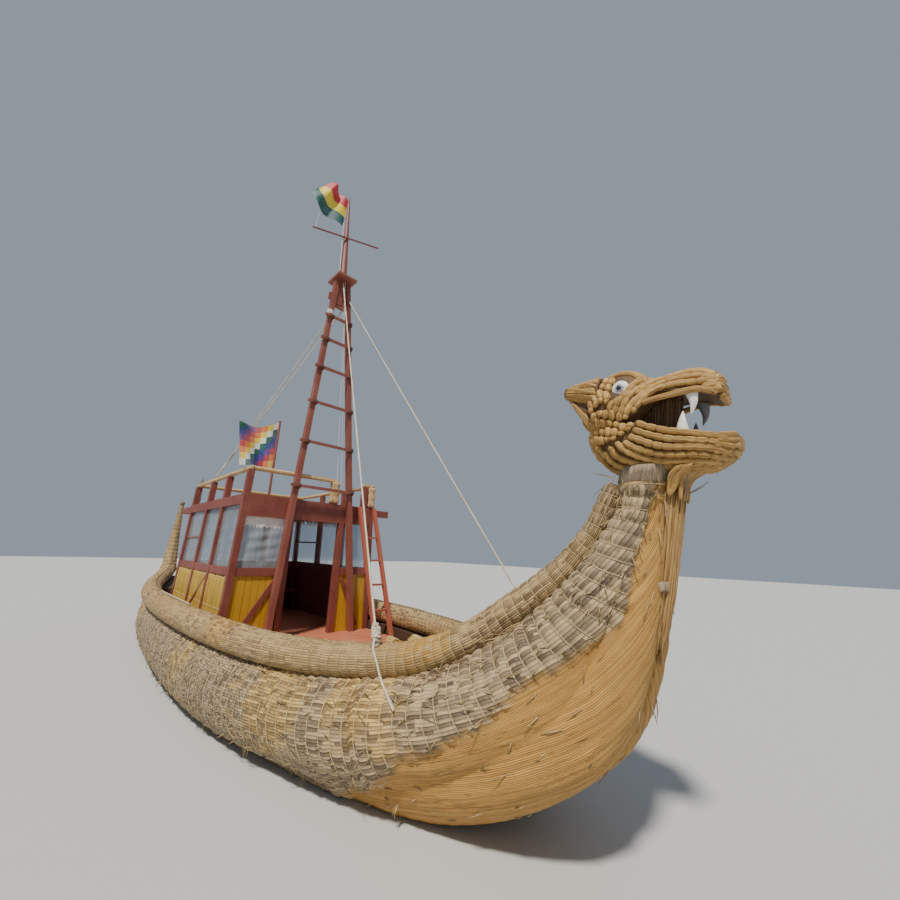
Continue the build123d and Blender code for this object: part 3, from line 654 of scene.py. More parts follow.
def hullSkin(label, side, material, cordMaterial):
    grid, rounds, lengths, bands = hullGrid(side, surfaceOf("hull_bundle_" + label, "gunwale_base_" + label))
    normals = gridNormals(grid, side)
    mat = matMask(grid)
    fuzzy = 1 - smoothstep(grid[..., 0], *hull["looseReach"])
    lumps = np.array([[lump(x, y, z, 5) + 0.6 * lump(x, y, z, 17) for x, y, z in row] for row in grid])
    raised, topEdge = skinRelief(side, grid, rounds, lengths, bands, mat, fuzzy, lumps)
    shaped = grid + normals * raised[..., None]
    skin = Pile(11)
    lay = np.stack([np.broadcast_to(lengths[:, None], mat.shape), rounds, np.full(mat.shape, 0.1)], -1)
    faces = gridFaces(*mat.shape)
    skin.add(shaped.reshape(-1, 3), faces if side > 0 else faces[:, ::-1], lay.reshape(-1, 3))
    piece = skin.build("reedSkin_" + label, material, "hull_reed")
    zone = np.stack([mat * topEdge, fuzzy, yellowShare(grid, lumps)], -1)
    zoneLayer = piece.data.attributes.new("zone", "FLOAT_VECTOR", "POINT")
    zoneLayer.data.foreach_set("vector", zone.astype(np.float32).ravel())
    netCords(side, shaped, normals, mat, topEdge).build("netCords_" + label, cordMaterial, "rope")
    strayReeds(shaped, normals, mat).build("strayReeds_" + label, strayReed, "hull_reed")


def tonesOf(name):
    return {key: colour(*tone) for key, tone in hull[name].items()}


def hullMaterial():
    # zone holds the share of the mat, of its loose part and of the yellow stretches
    material, tree, shader = newMaterial("hullReed", 0.78)
    lay = layOf(tree)
    zone = layOf(tree, "zone")
    short, long = (reedsOn(tree, lay, *hull[name]) for name in ("matReeds", "goldenReeds"))
    strong = spread(short["Shade"], 0.31, 0.76)
    mat, loose, fresh, gold = (tonesOf(name) for name in ("matTones", "endTones", "yellowTones", "goldenTones"))
    grey = mixColour(strong, mat["dark"], mat["light"])
    grey = mixColour(times(short["Patch"], 0.42), grey, mat["patch"])
    place = placeOf(tree)
    ends = put(tree, "TexVoronoi", {"Vector": place, "Scale": 29.0, "Randomness": 1.0}).outputs
    fuzz = mixColour(spread(ends["Distance"], 0.15, 0.62), loose["light"], loose["dark"])
    fuzz = mixColour(times(short["Shade"], 0.4), fuzz, loose["wash"])
    fuzzShare = times(zone[1], 0.62)
    matted = mixColour(fuzzShare, grey, fuzz)
    yellow = mixColour(strong, fresh["dark"], fresh["light"])
    matted = mixColour(times(zone[2], 0.7), matted, yellow)
    # painted shade between the mat's reeds
    matted = mixColour(times(short["Gap"], 0.9), matted, mat["gap"])
    golden = mixColour(spread(long["Shade"], 0.2, 0.8), gold["dark"], gold["light"])
    golden = mixColour(times(long["Patch"], 0.45), golden, gold["patch"])
    # painted shade between the golden reeds
    golden = mixColour(times(long["Gap"], 0.7), golden, gold["gap"])
    drawn = combined(times(lay[0], 5.0), times(lay[1], 42.0))
    streak = noiseOf(drawn, 1.0, 5, 0.75)
    golden = mixColour(spread(streak, 0.57, 0.68), golden, gold["streak"])
    bare = times(minus(1.0, zone[0]), 0.6)
    tall = plus(times(short["Height"], zone[0]), times(long["Height"], bare))
    tall = minus(tall, times(ends["Distance"], fuzzShare))
    feed(tree, shader, mixColour(zone[0], golden, matted), spread(short["Shade"], -1.5, 1.4), tall, 1.0, 0.007)
    return material


strayReed = reedMaterial("strayReed", **hull["strayReed"])
darkReed = reedMaterial("darkReed", **hull["darkReed"])
netCord = reedMaterial("netCord", **hull["netCord"])
hullReed = hullMaterial()
finishNodes(("hull_bundle_starboard", "hull_bundle_port", "gunwale_base_starboard", "gunwale_base_port"), darkReed)
for label, side in sides.items():
    hullSkin(label, side, hullReed, netCord)


def lowTufts():
    # reed ends that hang out low on the sides
    tufts = Pile(15)
    for x, y, z in hull["tufts"]:
        for _ in range(hull["tuftReeds"]):
            way = np.array([tufts.random.gauss(-0.05, 0.22), math.copysign(0.35, y), -0.9])
            long = tufts.random.uniform(*hull["tuftLengths"])
            line = np.array([x, y, z]) + way * long * np.linspace(-0.3, 1, 6)[:, None]
            line[:, 0] += tufts.random.uniform(-0.02, 0.02)
            sweep(tufts, line, np.linspace(0.0055, 0.0025, 6), 4)
    return tufts


lowTufts().build("lowTufts", strayReed, "hull_reed")
print("scene: hull skins laid")


# Gunwale rolls: reed tubes bound with cord, from the horn's tip to the neck

roll = {
    # x, y, z along the middle of the roll, for the port side
    "spine": [
        (-7.52, 0.215, 3.35), (-7.48, 0.23, 2.9), (-7.42, 0.25, 2.35), (-7.33, 0.27, 1.8),
        (-7.15, 0.3, 1.316), (-6.55, 0.48, 1.186), (-5.55, 0.77, 1.106), (-4.15, 1.09, 1.061),
        (-2.1, 1.37, 1.049), (0.3, 1.44, 1.046), (2.3, 1.31, 1.041), (3.6, 1.06, 1.054),
        (4.508, 0.7, 1.115), (5.195, 0.49, 1.323), (5.715, 0.35, 1.667), (6.037, 0.26, 1.916),
        (6.28, 0.2, 2.193), (6.48, 0.14, 2.6)],
    "bandLength": [(-8, 0.15), (-7.2, 0.12), (4, 0.105), (6.5, 0.082)],
    "stepsPerBand": 7,
    "around": 30,
    "bulge": 0.095,
    "cordRadius": 0.0036,
    "bandLean": 0.16,
    # looks of reeds: dark, middle and light tone, width and length of a reed, raggedness, relief, faded tone
    "reed": ((0.045, 0.024, 0.011), (0.135, 0.078, 0.034), (0.64, 0.45, 0.22), 0.022, 0.11, 1.2, 1.0,
             (0.42, 0.275, 0.1)),
    # yellower places: tone to multiply by, place and reach
    "washes": [((1.14, 0.95, 0.46), (4.92, -0.62, 1.47), 0.34), ((1.1, 0.94, 0.55), (2.3, -1.33, 1.22), 0.38)],
}


def rollRings(label, side):
    # centre and radius along the roll, measured on the CAD tube
    surface = surfaceOf("gunwale_roll_" + label)
    line = smoothPath([(x, side * y, z) for x, y, z in roll["spine"]], 0.04)
    _, firsts, seconds = framesAlong(line)
    centres, radii = [], []
    for point, first, second in zip(line, firsts, seconds):
        hits = []
        for angle in np.linspace(0, 2 * math.pi, 12, endpoint=False):
            way = first * math.cos(angle) + second * math.sin(angle)
            hit = surface.ray_cast(Vector(point), Vector(way), 0.4)[0]
            if hit is not None:
                hits.append(hit[:])
        if len(hits) < 8:
            continue
        hits = np.array(hits)
        centre = hits.mean(0)
        centres.append(centre)
        radii.append(np.linalg.norm(hits - centre, axis=1).mean())
    return np.array(centres), np.array(radii)


def boundRoll(label, side, material, cordMaterial):
    centres, radii = rollRings(label, side)
    lengths = runLengths(centres)
    fine = np.linspace(0, lengths[-1], int(lengths[-1] / 0.005))
    spacing = table(roll["bandLength"], np.interp(fine[1:], lengths, centres[:, 0]))
    bands = np.r_[0, np.cumsum(np.diff(fine) / spacing)]
    wanted = np.interp(np.arange(0, bands[-1], 1 / roll["stepsPerBand"]), bands, fine)
    points = sampled(wanted, lengths, centres)
    radius = np.interp(wanted, lengths, radii)
    band = np.arange(len(wanted)) / roll["stepsPerBand"]

    def relief(length, angle):
        swell = np.sqrt(np.abs(np.sin(math.pi * band)))[:, None] * roll["bulge"]
        ridges = 0.016 * np.abs(np.sin(angle * 13 + 2.0 * np.sin(length * 0.8)))
        bumps = np.array([[0.030 * lump(l, math.cos(a), math.sin(a), 2.3)
                           + 0.018 * lump(l, math.cos(a), math.sin(a), 9) for a in angle[0]]
                          for l in length[:, 0]])
        return swell + ridges + bumps - 0.065

    pile = Pile(21)
    sweep(pile, points, radius, roll["around"], tint=0.2, rounded=True, relief=relief)
    pile.build("boundRoll_" + label, material, "roll_reed", replaced=["gunwale_roll_" + label])
    cords = Pile(22)
    tangents, firsts, seconds = framesAlong(points)
    turns = np.linspace(0, 2 * math.pi, 22)
    for index in range(roll["stepsPerBand"], len(points) - 2, roll["stepsPerBand"]):
        lean = roll["bandLean"] * cords.random.uniform(-0.4, 1) * radius[index]
        reach = radius[index] * (0.975 + 0.012 * cords.random.random())
        ring = (points[index] + reach * circle(firsts[index], seconds[index], turns)
                + np.outer(lean * np.cos(turns), tangents[index]))
        sweep(cords, ring, roll["cordRadius"], 4, tint=cords.random.random())
    cords.build("rollCords_" + label, cordMaterial, "rope")
    return points, radius


rollReed = reedMaterial("rollReed", *roll["reed"])


def washedWith(material, tone, centre, reach):
    # multiplies a material by a second colour round a place, with a ragged edge
    tree = material.node_tree
    shader = tree.nodes["Principled BSDF"]
    before = shader.inputs["Base Color"].links[0].from_socket
    place = placeOf(tree)
    away = put(tree, "VectorMath", {0: place, 1: centre}, operation="DISTANCE").outputs["Value"]
    rough = noiseOf(place, 15.0, 6, 0.75)
    ragged = plus(away, times(minus(rough, 0.5), reach * 4.0))
    share = spread(ragged, reach, reach * 0.55)
    tree.links.new(mixColour(share, before, colour(*tone), "MULTIPLY"), shader.inputs["Base Color"])


for wash in roll["washes"]:
    washedWith(rollReed, *wash)
rolls = {label: boundRoll(label, side, rollReed, netCord) for label, side in sides.items()}
print("scene: rolls bound")


# Dragon head: strands of bound reed laid over the CAD head

head = {
    # radius, then x and z of a strand's line as seen from the side
    "strands": [
        (0.021, [(6.698, 3.05), (6.715, 3.115), (6.762, 3.171), (6.843, 3.205), (6.929, 3.213), (7.022, 3.197),
                 (7.103, 3.184), (7.165, 3.155), (7.188, 3.105)]),
        (0.021, [(6.668, 3.035), (6.69, 3.11), (6.749, 3.185), (6.832, 3.237), (6.96, 3.255), (7.061, 3.244),
                 (7.126, 3.238), (7.173, 3.205), (7.192, 3.15)]),
        (0.022, [(6.626, 3.051), (6.668, 3.13), (6.734, 3.212), (6.821, 3.268), (6.903, 3.292), (6.995, 3.295),
                 (7.076, 3.29), (7.14, 3.27), (7.186, 3.215)]),
        (0.022, [(6.7, 3.225), (6.77, 3.29), (6.85, 3.318), (6.93, 3.333), (7.01, 3.336), (7.085, 3.325),
                 (7.15, 3.29), (7.188, 3.24)]),
        (0.022, [(6.611, 3.07), (6.632, 3.134), (6.672, 3.205), (6.722, 3.275), (6.785, 3.325), (6.85, 3.345)]),
        (0.022, [(6.575, 3.092), (6.6, 3.16), (6.64, 3.215), (6.69, 3.3), (6.745, 3.352), (6.8, 3.365)]),
        (0.021, [(6.535, 3.116), (6.56, 3.172), (6.605, 3.19), (6.668, 3.232), (6.7, 3.32), (6.725, 3.403)]),
        (0.022, [(6.698, 3.01), (6.754, 2.975), (6.809, 2.952), (6.876, 2.925), (6.977, 2.896), (7.072, 2.872),
                 (7.148, 2.85), (7.205, 2.822)]),
        (0.022, [(6.68, 2.96), (6.738, 2.925), (6.805, 2.896), (6.905, 2.862), (7.036, 2.836), (7.127, 2.815),
                 (7.214, 2.785)]),
        (0.023, [(6.65, 2.915), (6.719, 2.878), (6.782, 2.845), (6.883, 2.815), (7.031, 2.796), (7.121, 2.778),
                 (7.214, 2.75)]),
        (0.023, [(6.612, 2.885), (6.668, 2.841), (6.732, 2.805), (6.818, 2.78), (6.924, 2.765), (7.055, 2.75),
                 (7.205, 2.722)]),
        (0.024, [(6.56, 2.891), (6.603, 2.838), (6.672, 2.788), (6.749, 2.755), (6.866, 2.735), (6.986, 2.722),
                 (7.111, 2.708), (7.19, 2.7)]),
        (0.024, [(6.508, 2.877), (6.535, 2.808), (6.611, 2.756), (6.698, 2.727), (6.801, 2.712), (6.911, 2.702),
                 (7.043, 2.69), (7.14, 2.685)]),
        (0.024, [(6.455, 2.857), (6.479, 2.785), (6.543, 2.736), (6.647, 2.706), (6.758, 2.696), (6.854, 2.692)]),
        (0.024, [(6.395, 2.834), (6.422, 2.765), (6.49, 2.718), (6.58, 2.696), (6.68, 2.69)]),
    ],
    # radius, then the line that a row of short coils follows
    "coils": [
        (0.023, [(6.43, 3.15), (6.392, 3.087), (6.362, 3.02), (6.352, 2.955), (6.348, 2.892), (6.368, 2.824)]),
        (0.023, [(6.48, 3.15), (6.446, 3.094), (6.418, 3.028), (6.402, 2.957), (6.392, 2.88)]),
        (0.023, [(6.53, 3.14), (6.494, 3.085), (6.47, 3.02), (6.452, 2.952), (6.436, 2.9)]),
        (0.022, [(6.58, 3.13), (6.542, 3.072), (6.52, 3.01), (6.502, 2.952), (6.484, 2.905)]),
        (0.022, [(6.625, 3.105), (6.588, 3.055), (6.568, 2.997), (6.552, 2.945), (6.54, 2.905)]),
        (0.021, [(6.655, 3.065), (6.63, 3.02), (6.612, 2.969), (6.599, 2.925)]),
        (0.02, [(6.682, 3.04), (6.668, 2.996), (6.65, 2.952)]),
        (0.021, [(6.4, 3.33), (6.385, 3.27), (6.38, 3.2), (6.4, 3.16)]),
        (0.021, [(6.45, 3.4), (6.432, 3.33), (6.425, 3.26), (6.44, 3.19)]),
        (0.021, [(6.5, 3.42), (6.482, 3.35), (6.472, 3.27), (6.485, 3.2)]),
        (0.021, [(6.56, 3.4), (6.54, 3.33), (6.525, 3.26), (6.53, 3.19)]),
    ],
    "bindEvery": 0.066,
    "coilLength": 0.08,
    "crownOffsets": (-0.14, -0.1, -0.06, -0.02, 0.02, 0.06, 0.1, 0.14),
    "crownReach": (6.36, 7.17),
    "chinReach": (6.86, 7.2),
    "napeHeights": (2.8, 3.42),
    "strandStep": 0.0075,
    "tipHeights": (2.695, 2.73, 2.765, 2.8, 2.83, 2.855, 3.1, 3.135, 3.17, 3.205, 3.24, 3.275),
    "tipReach": 0.155,
    "tipStart": 7.09,
    "fewestPoints": 8,
    # looks, as for the rolls
    "reed": ((0.05, 0.02, 0.007), (0.3, 0.145, 0.03), (0.82, 0.54, 0.17), 0.007, 0.09, 0.9, 0.8,
             (0.44, 0.24, 0.062)),
    "mouthReed": ((0.02, 0.011, 0.007), (0.085, 0.045, 0.022), (0.24, 0.135, 0.06), 0.01, 0.2),
    "tieReedWithPinchShade": ((0.035, 0.016, 0.007), (0.13, 0.065, 0.022), (0.3, 0.17, 0.06), 0.004, 0.03),
    "coreShadeReed": ((0.035, 0.016, 0.007), (0.2, 0.105, 0.036), (60, 60, 14)),  # dark, light, fineness each way; both tones dark, as painted shade where the core shows between the strands
    "liningColumns": 24,
}
ear = {
    "foot": (6.455, 0.15, 3.235),  # middle line of the port ear
    "tip": (6.15, 0.215, 3.372),
    "strands": 34,
    "strandRadii": (0.0175, 0.0075),
    # the fan's reeds run from its tip to points on a bow from a start over a reach
    "fanTip": (6.172, 0.212, 3.345),
    "fanStart": (6.35, 0.185, 3.035),
    "fanReach": (0.125, 0.03, 0.3),
    "fanReeds": 20,
    "fanRadius": 0.0095,
    "goldenReeds": 4,
    "goldenRadius": 0.015,
}
headSurface = surfaceOf("head_skull", "head_throat", "head_upper_jaw", "head_lower_jaw")


def onHead(start, way):
    # where a straight look meets the near half of the head
    hit, normal = headSurface.ray_cast(Vector(start), Vector(way), 1.6)[:2]
    if hit is None or (way[1] and hit[1] * way[1] > -0.03):
        return None
    return np.array(hit[:]), np.array(normal[:])


def overHead(starts, way, radius, foremost=-10.0):
    # a line laid on the head where it is seen along a way; points behind foremost are left out
    found = [hit for hit in (onHead(start, way) for start in starts) if hit is not None and hit[0][0] > foremost]
    if len(found) < head["fewestPoints"]:
        return []
    points = evened([point for point, _ in found], 3)
    normals = evened([normal for _, normal in found], 4)
    normals /= np.maximum(np.linalg.norm(normals, axis=1), 1e-6)[:, None]
    return points + normals * radius * 0.45


def boundStrand(pile, ties, points, radius, every):
    # a fat strand pinched by its bindings, with a dark tie round each pinch; the tie's dark tone is partly painted
    # shade in the pinch
    if len(points) == 0:
        return
    every = every * pile.random.uniform(0.9, 1.12)
    offset = pile.random.uniform(0, every)
    phase = pile.random.uniform(0, 6)

    def relief(length, angle):
        pinch = np.abs(np.sin(math.pi * (length + offset) / every)) ** 0.42
        return 0.36 * pinch - 0.28 + 0.055 * np.abs(np.sin(angle * 4 + phase + length * 5))

    sweep(pile, points, radius, 12, rounded=True, relief=relief)
    lengths = runLengths(points)
    _, firsts, seconds = framesAlong(points)
    turns = np.linspace(0, 2 * math.pi, 13)
    for mark in np.arange(every - offset, lengths[-1] - radius, every):
        index = int(np.searchsorted(lengths, mark))
        ring = points[index] + radius * 0.75 * circle(firsts[index], seconds[index], turns)
        sweep(ties, ring, 0.0036, 4)


def headStrands(side, ties):
    pile = Pile(31 + side)
    for radius, line in head["strands"]:
        flat = smoothPath([(x, 0, z) for x, z in line], head["strandStep"])
        starts = [(x, side * 0.62, z) for x, _, z in flat]
        boundStrand(pile, ties, overHead(starts, (0, -side, 0), radius), radius, head["bindEvery"])
    for radius, line in head["coils"]:
        flat = smoothPath([(x, 0, z) for x, z in line], head["strandStep"] * 0.8)
        starts = [(x, side * 0.62, z) for x, _, z in flat]
        path = overHead(starts, (0, -side, 0), radius)
        lengths = runLengths(path)
        start = pile.random.uniform(-0.02, 0)
        while start < lengths[-1] - 0.02:
            long = head["coilLength"] * pile.random.uniform(0.85, 1.25)
            inside = np.linspace(max(start, 0), min(start + long, lengths[-1]), 9)
            points = sampled(inside, lengths, path)
            tilt = pile.random.uniform(0.006, 0.016)
            points[:, 0] += np.linspace(-tilt, tilt, len(points))
            if np.linalg.norm(points[-1] - points[0]) > 0.02:
                fibre = pile.random.uniform(0, 6)
                sweep(pile, points, radius * pile.random.uniform(1.15, 1.35), 12, rounded=True,
                      relief=lambda length, angle: 0.07 * np.abs(np.sin(angle * 4 + fibre)) + 0 * length)
            start += long * 0.86
    return pile


def crownStrands(ties):
    # over the top of the snout and skull, under the chin, down the nape and across both tips
    pile = Pile(35)
    radius = 0.021
    crown, chin, nape = (np.linspace(*head[reach], count)
                         for reach, count in (("crownReach", 90), ("chinReach", 40), ("napeHeights", 70)))
    rows = [([(x, offset * (1 if x < 6.9 else 1 - 0.35 * (x - 6.9) / 0.27), 4.0) for x in crown], (0, 0, -1))
            for offset in head["crownOffsets"]]
    rows += [([(x, offset * 0.9, 2.2) for x in chin], (0, 0, 1)) for offset in head["crownOffsets"][1:-1]]
    rows += [([(5.75, offset * 1.25, z) for z in nape], (1, 0, 0)) for offset in head["crownOffsets"]]
    across = np.linspace(-head["tipReach"], head["tipReach"], 42)
    rows += [([(8.2, y, height) for y in across], (-1, 0, 0), head["tipStart"]) for height in head["tipHeights"]]
    for starts, way, *foremost in rows:
        boundStrand(pile, ties, overHead(starts, way, radius, *foremost), radius, head["bindEvery"])
    return pile


def earRings(turn):
    # fine rings along a reed of the ear
    return lambda length, around: 0.14 * np.abs(np.sin(length * 55 + turn)) - 0.05 + 0 * around


def earFan(side):
    # reeds that fan out from the ear's tip over its open side, the lowest ones thick and golden
    dark, golden = Pile(38 + side), Pile(40 + side)
    tip = np.array(ear["fanTip"]) * (1, side, 1)
    (x, y, z), (reachX, bow, reachZ) = ear["fanStart"], ear["fanReach"]
    for index in range(ear["fanReeds"]):
        share = index / (ear["fanReeds"] - 1)
        end = np.array([x + reachX * share, side * (y + bow * math.sin(math.pi * share)), z + reachZ * share])
        low = index < ear["goldenReeds"]
        pile, thick = (golden, ear["goldenRadius"]) if low else (dark, ear["fanRadius"])
        line = tip + (end - tip) * np.linspace(0, 1, 14)[:, None]
        line[:, 1] += side * 0.020 * np.sin(np.linspace(0, math.pi, 14)) - side * (0 if low else 0.012)
        sweep(pile, line, np.linspace(thick * 0.55, thick, 14), 8, rounded=True,
              relief=earRings(pile.random.uniform(0, 6)))
    return dark, golden


def earCone(side):
    # fine reeds that draw together from the skull to the ear's tip
    pile = Pile(37 + side)
    surface = surfaceOf("head_ears")
    foot, tip = (np.array(ear[end]) * (1, side, 1) for end in ("foot", "tip"))
    _, firsts, seconds = framesAlong(np.array([foot, (foot + tip) / 2, tip]))
    for index in range(ear["strands"]):
        angle = 2 * math.pi * index / ear["strands"] + pile.random.uniform(-0.04, 0.04)
        out = firsts[0] * math.cos(angle) + seconds[0] * math.sin(angle)
        middles, reaches = [], []
        for share in np.linspace(0.0, 0.985, 20):
            middle = foot + (tip - foot) * share
            hit = surface.ray_cast(Vector(middle + out * 0.5), Vector(-out), 0.5)[0]
            reach = 0.014 if hit is None else float(np.dot(np.array(hit[:]) - middle, out))
            middles.append(middle)
            reaches.append([max(reach, 0.006)])
        line = np.array(middles) + out * (evened(reaches, 3) + 0.004)
        thick = np.linspace(*ear["strandRadii"], 20) * pile.random.uniform(0.85, 1.1)
        sweep(pile, line, thick, 8, rounded=True, relief=earRings(pile.random.uniform(0, 6)))
    return pile


headReed = reedMaterial("headReed", *head["reed"])
mouthReed = reedMaterial("mouthReed", *head["mouthReed"])
headTies = Pile(39)
for label, side in sides.items():
    headStrands(side, headTies).build("headStrands_" + label, headReed, "head_reed")
    earCone(side).build("earReeds_" + label, headReed, "head_reed")
    darkFan, goldenFan = earFan(side)
    darkFan.build("earFanDark_" + label, mouthReed, "head_reed")
    goldenFan.build("earFanEdge_" + label, headReed, "head_reed")
crownStrands(headTies).build("crownStrands", headReed, "head_reed")
# the ties are cords whose dark tone is partly painted shade in the pinches
tieReedWithPinchShade = reedMaterial("tieReedWithPinchShade", *head["tieReedWithPinchShade"])
headTies.build("headTies", tieReedWithPinchShade, "head_reed")


def placedReed(name, dark, light, fineness):
    # reeds drawn by place alone, for the solids under the loose ones
    material, tree, shader = newMaterial(name)
    place = placeOf(tree)
    drawn = stretched(place, fineness)
    reeds = noiseOf(drawn, 1.0, 5, 0.7)
    broad = noiseOf(place, 5.0, 4)
    share = plus(spread(reeds, 0.35, 0.68), times(minus(broad, 0.5), 0.8), True)
    feed(tree, shader, mixColour(share, colour(*dark), colour(*light)), spread(reeds, -1.0, 1.3), reeds,
         0.9, 0.008)
    return material


# the solids under the strands get a dark reed tone: painted shade where they show between the strands
finishNodes(("head_skull", "head_throat", "head_upper_jaw", "head_lower_jaw", "head_ears"),
            placedReed("coreShadeReed", *head["coreShadeReed"]))


def mouthLining():
    # dark reeds that close the back of the mouth, between the palate and the lower jaw
    pile = Pile(41)
    for index in range(head["liningColumns"]):
        share = index / (head["liningColumns"] - 1)
        x = 6.70 + 0.20 * share
        for offset in (-0.035, 0.035):
            middle = (x + 0.03 * share, offset, 3.085 + 0.02 * share)
            up = headSurface.ray_cast(Vector(middle), Vector((0.12, 0, 1)), 0.5)[0]
            down = headSurface.ray_cast(Vector(middle), Vector((-0.12, 0, -1)), 0.5)[0]
            if up is None or down is None:
                continue
            top, bottom = np.array(up[:]), np.array(down[:])
            line = bottom + (top - bottom) * np.linspace(-0.05, 1.05, 9)[:, None]
            line[:, 1] += pile.random.uniform(-0.012, 0.012)
            sweep(pile, line, 0.0085, 6)
    return pile


mouthLining().build("mouthLining", mouthReed, "head_reed")

eye = {
    "place": (6.622, 0.262, 3.286),
    "radius": 0.058,
    "depth": 0.038,
    "pupilRadius": 0.0185,
    # turned forms: shares of the radius, of the disc or the pupil, and of the depth
    "disc": [(1.04, 0.45), (0.98, 0.62), (0.86, 0.68), (0.5, 0.86), (0.2, 0.94), (0, 0.95)],
    "discFoot": [(0.9, -0.05), (1.02, -0.02)],  # its second column is in metres
    "ring": [(1.75, 0.78), (1.6, 1.0), (1.2, 1.05), (0, 1.05)],
    "pupil": [(1, 0.95), (1, 1.12), (0.8, 1.22), (0, 1.28)],
}


def lathe(pile, centre, axis, profile, around=36, tint=0.5):
    # a turned form; the profile is radius and height along the axis
    axis = Vector(axis).normalized()
    first = axis.orthogonal().normalized()
    second = axis.cross(first)
    angles = np.linspace(0, 2 * math.pi, around, endpoint=False)
    unit = circle(first, second, angles)
    rings = [np.array(centre) + unit * max(radius, 1e-5) + np.array(axis) * height for radius, height in profile]
    lay = np.array([[height, angle * radius, tint] for radius, height in profile for angle in angles])
    pile.add(np.concatenate(rings), gridFaces(len(profile), around, True), lay)


def paintedMaterial(name, base, worn, roughness=0.45):
    # brushed paint with grime in blotches
    material, tree, shader = newMaterial(name, roughness)
    place = placeOf(tree)
    blotch = noiseOf(place, 22.0, 6, 0.7)
    brushed = noiseOf(place, 140.0, 3)
    tone = mixColour(spread(blotch, 0.45, 0.8), colour(*base), colour(*worn))
    feed(tree, shader, tone, spread(blotch, -0.2, 1.6), brushed, 0.25, 0.002)
    return material


eyeWhite = paintedMaterial("eyeWhite", (0.8, 0.8, 0.76), (0.6, 0.56, 0.48))
eyeRing = paintedMaterial("eyeRing", (0.36, 0.37, 0.42), (0.25, 0.24, 0.26))
pupilDark = paintedMaterial("pupilDark", (0.02, 0.022, 0.035), (0.06, 0.05, 0.05), 0.25)
fangWhite = paintedMaterial("fangWhite", (0.82, 0.81, 0.76), (0.58, 0.52, 0.42))
fangShadedGrey = paintedMaterial("fangShadedGrey", (0.2, 0.2, 0.23), (0.34, 0.31, 0.28))  # the far pair: the same fangs, painted dark grey as the shade they stand in


def eyeForm(label, side, part, radius, material, slot, foot=(), replaced=()):
    # one turned part of an eye
    profile = [(radius * reach, height) for reach, height in foot]
    profile += [(radius * reach, eye["depth"] * height) for reach, height in eye[part]]
    pile = Pile(43)
    lathe(pile, np.array(eye["place"]) * (1, side, 1), (0, side, 0), profile)
    pile.build(label, material, slot, replaced=replaced)


for label, side in sides.items():
    eyeForm("eyeDisc_" + label, side, "disc", eye["radius"], eyeWhite, "eye_white", eye["discFoot"], ["eyes"])
    eyeForm("eyeRing_" + label, side, "ring", eye["pupilRadius"], eyeRing, "eye_white")
    eyeForm("pupilDome_" + label, side, "pupil", eye["pupilRadius"], pupilDark, "pupil_dark", replaced=["pupils"])

fang = {
    # root, bend and point of each fang, for the port side, and its width at the root
    "upper": ([(7.04, 0.15, 3.205), (7.048, 0.158, 3.105), (7.024, 0.152, 3.025)], 0.042),
    "lower": ([(6.962, 0.16, 2.875), (6.968, 0.168, 2.965), (6.98, 0.16, 3.058)], 0.048),
}
for label, side in sides.items():
    pile = Pile(46)
    for points, width in (fang["upper"], fang["lower"]):
        line = smoothPath([(x, side * y, z) for x, y, z in points], 0.008)
        share = np.linspace(0, 1, len(line))
        sweep(pile, line, width * (1 - share) ** 0.8 + 0.002, 14, flat=0.5)
    # the port pair gets the grey copy of the fang paint: painted shade
    pile.build("fangPair_" + label, fangWhite if side < 0 else fangShadedGrey, "fang_white", replaced=["fangs"])
print("scene: head dressed")


# Neck: the loose-reed stem, the wrapped collar and the twigs

stem = {
    # x of the front, z, half depth and half breadth of the loose bundle before the neck
    "rows": [(6.64, 1.45, 0.036, 0.045), (6.745, 1.823, 0.062, 0.072), (6.808, 2.109, 0.072, 0.08),
             (6.875, 2.447, 0.08, 0.086), (6.905, 2.596, 0.082, 0.088)],
    "reeds": 150,
    "collarCentre": 6.68, "collarHalfLength": 0.19, "collarHalfBreadth": 0.217, "collarLevels": (2.44, 2.715),
    "collarReeds": 104,
    "patchEnds": ((6.71, -0.126), (6.742, -0.066)), "patchLevels": (1.868, 1.938), "patchReeds": 8,
    # x, share of a reed's own y, and z of the bundle ends that fold down the front of the neck
    "foldedLine": [(7.02, 0.9, 2.692), (6.95, 0.85, 2.668), (6.905, 0.7, 2.61), (6.885, 0.62, 2.5)],
    "foldedReeds": 16,
    # x, the step of x from reed to reed, y and z of those at the sides
    "sideLine": [(6.93, 0.012, 0.165, 2.69), (6.86, 0.01, 0.15, 2.64), (6.83, 0.008, 0.125, 2.56),
                 (6.825, 0, 0.12, 2.49)],
    "sideReeds": 7,
    # foot and direction of each pair of twigs
    "twigs": [(6.47, -0.2, 2.62, (-0.5, -0.5, -0.6)), (6.46, -0.18, 2.66, (-0.7, -0.4, 0.15)),
              (6.9, -0.07, 2.56, (0.75, -0.3, 0.65)), (6.9, -0.05, 2.5, (0.55, -0.15, 0.95)),
              (6.44, 0.19, 2.64, (-0.6, 0.5, -0.4)), (6.88, 0.08, 2.52, (0.7, 0.3, 0.5)),
              (6.8, -0.13, 2.44, (0.2, -0.55, -1.0)), (6.79, -0.15, 2.5, (-0.4, -0.8, 0.1))],
    # looks, as for the rolls
    "reed": ((0.09, 0.042, 0.014), (0.31, 0.165, 0.05), (0.64, 0.41, 0.155), 0.006, 0.5),
    "greyReed": ((0.1, 0.065, 0.04), (0.28, 0.2, 0.125), (0.5, 0.4, 0.27), 0.008, 0.2),
}


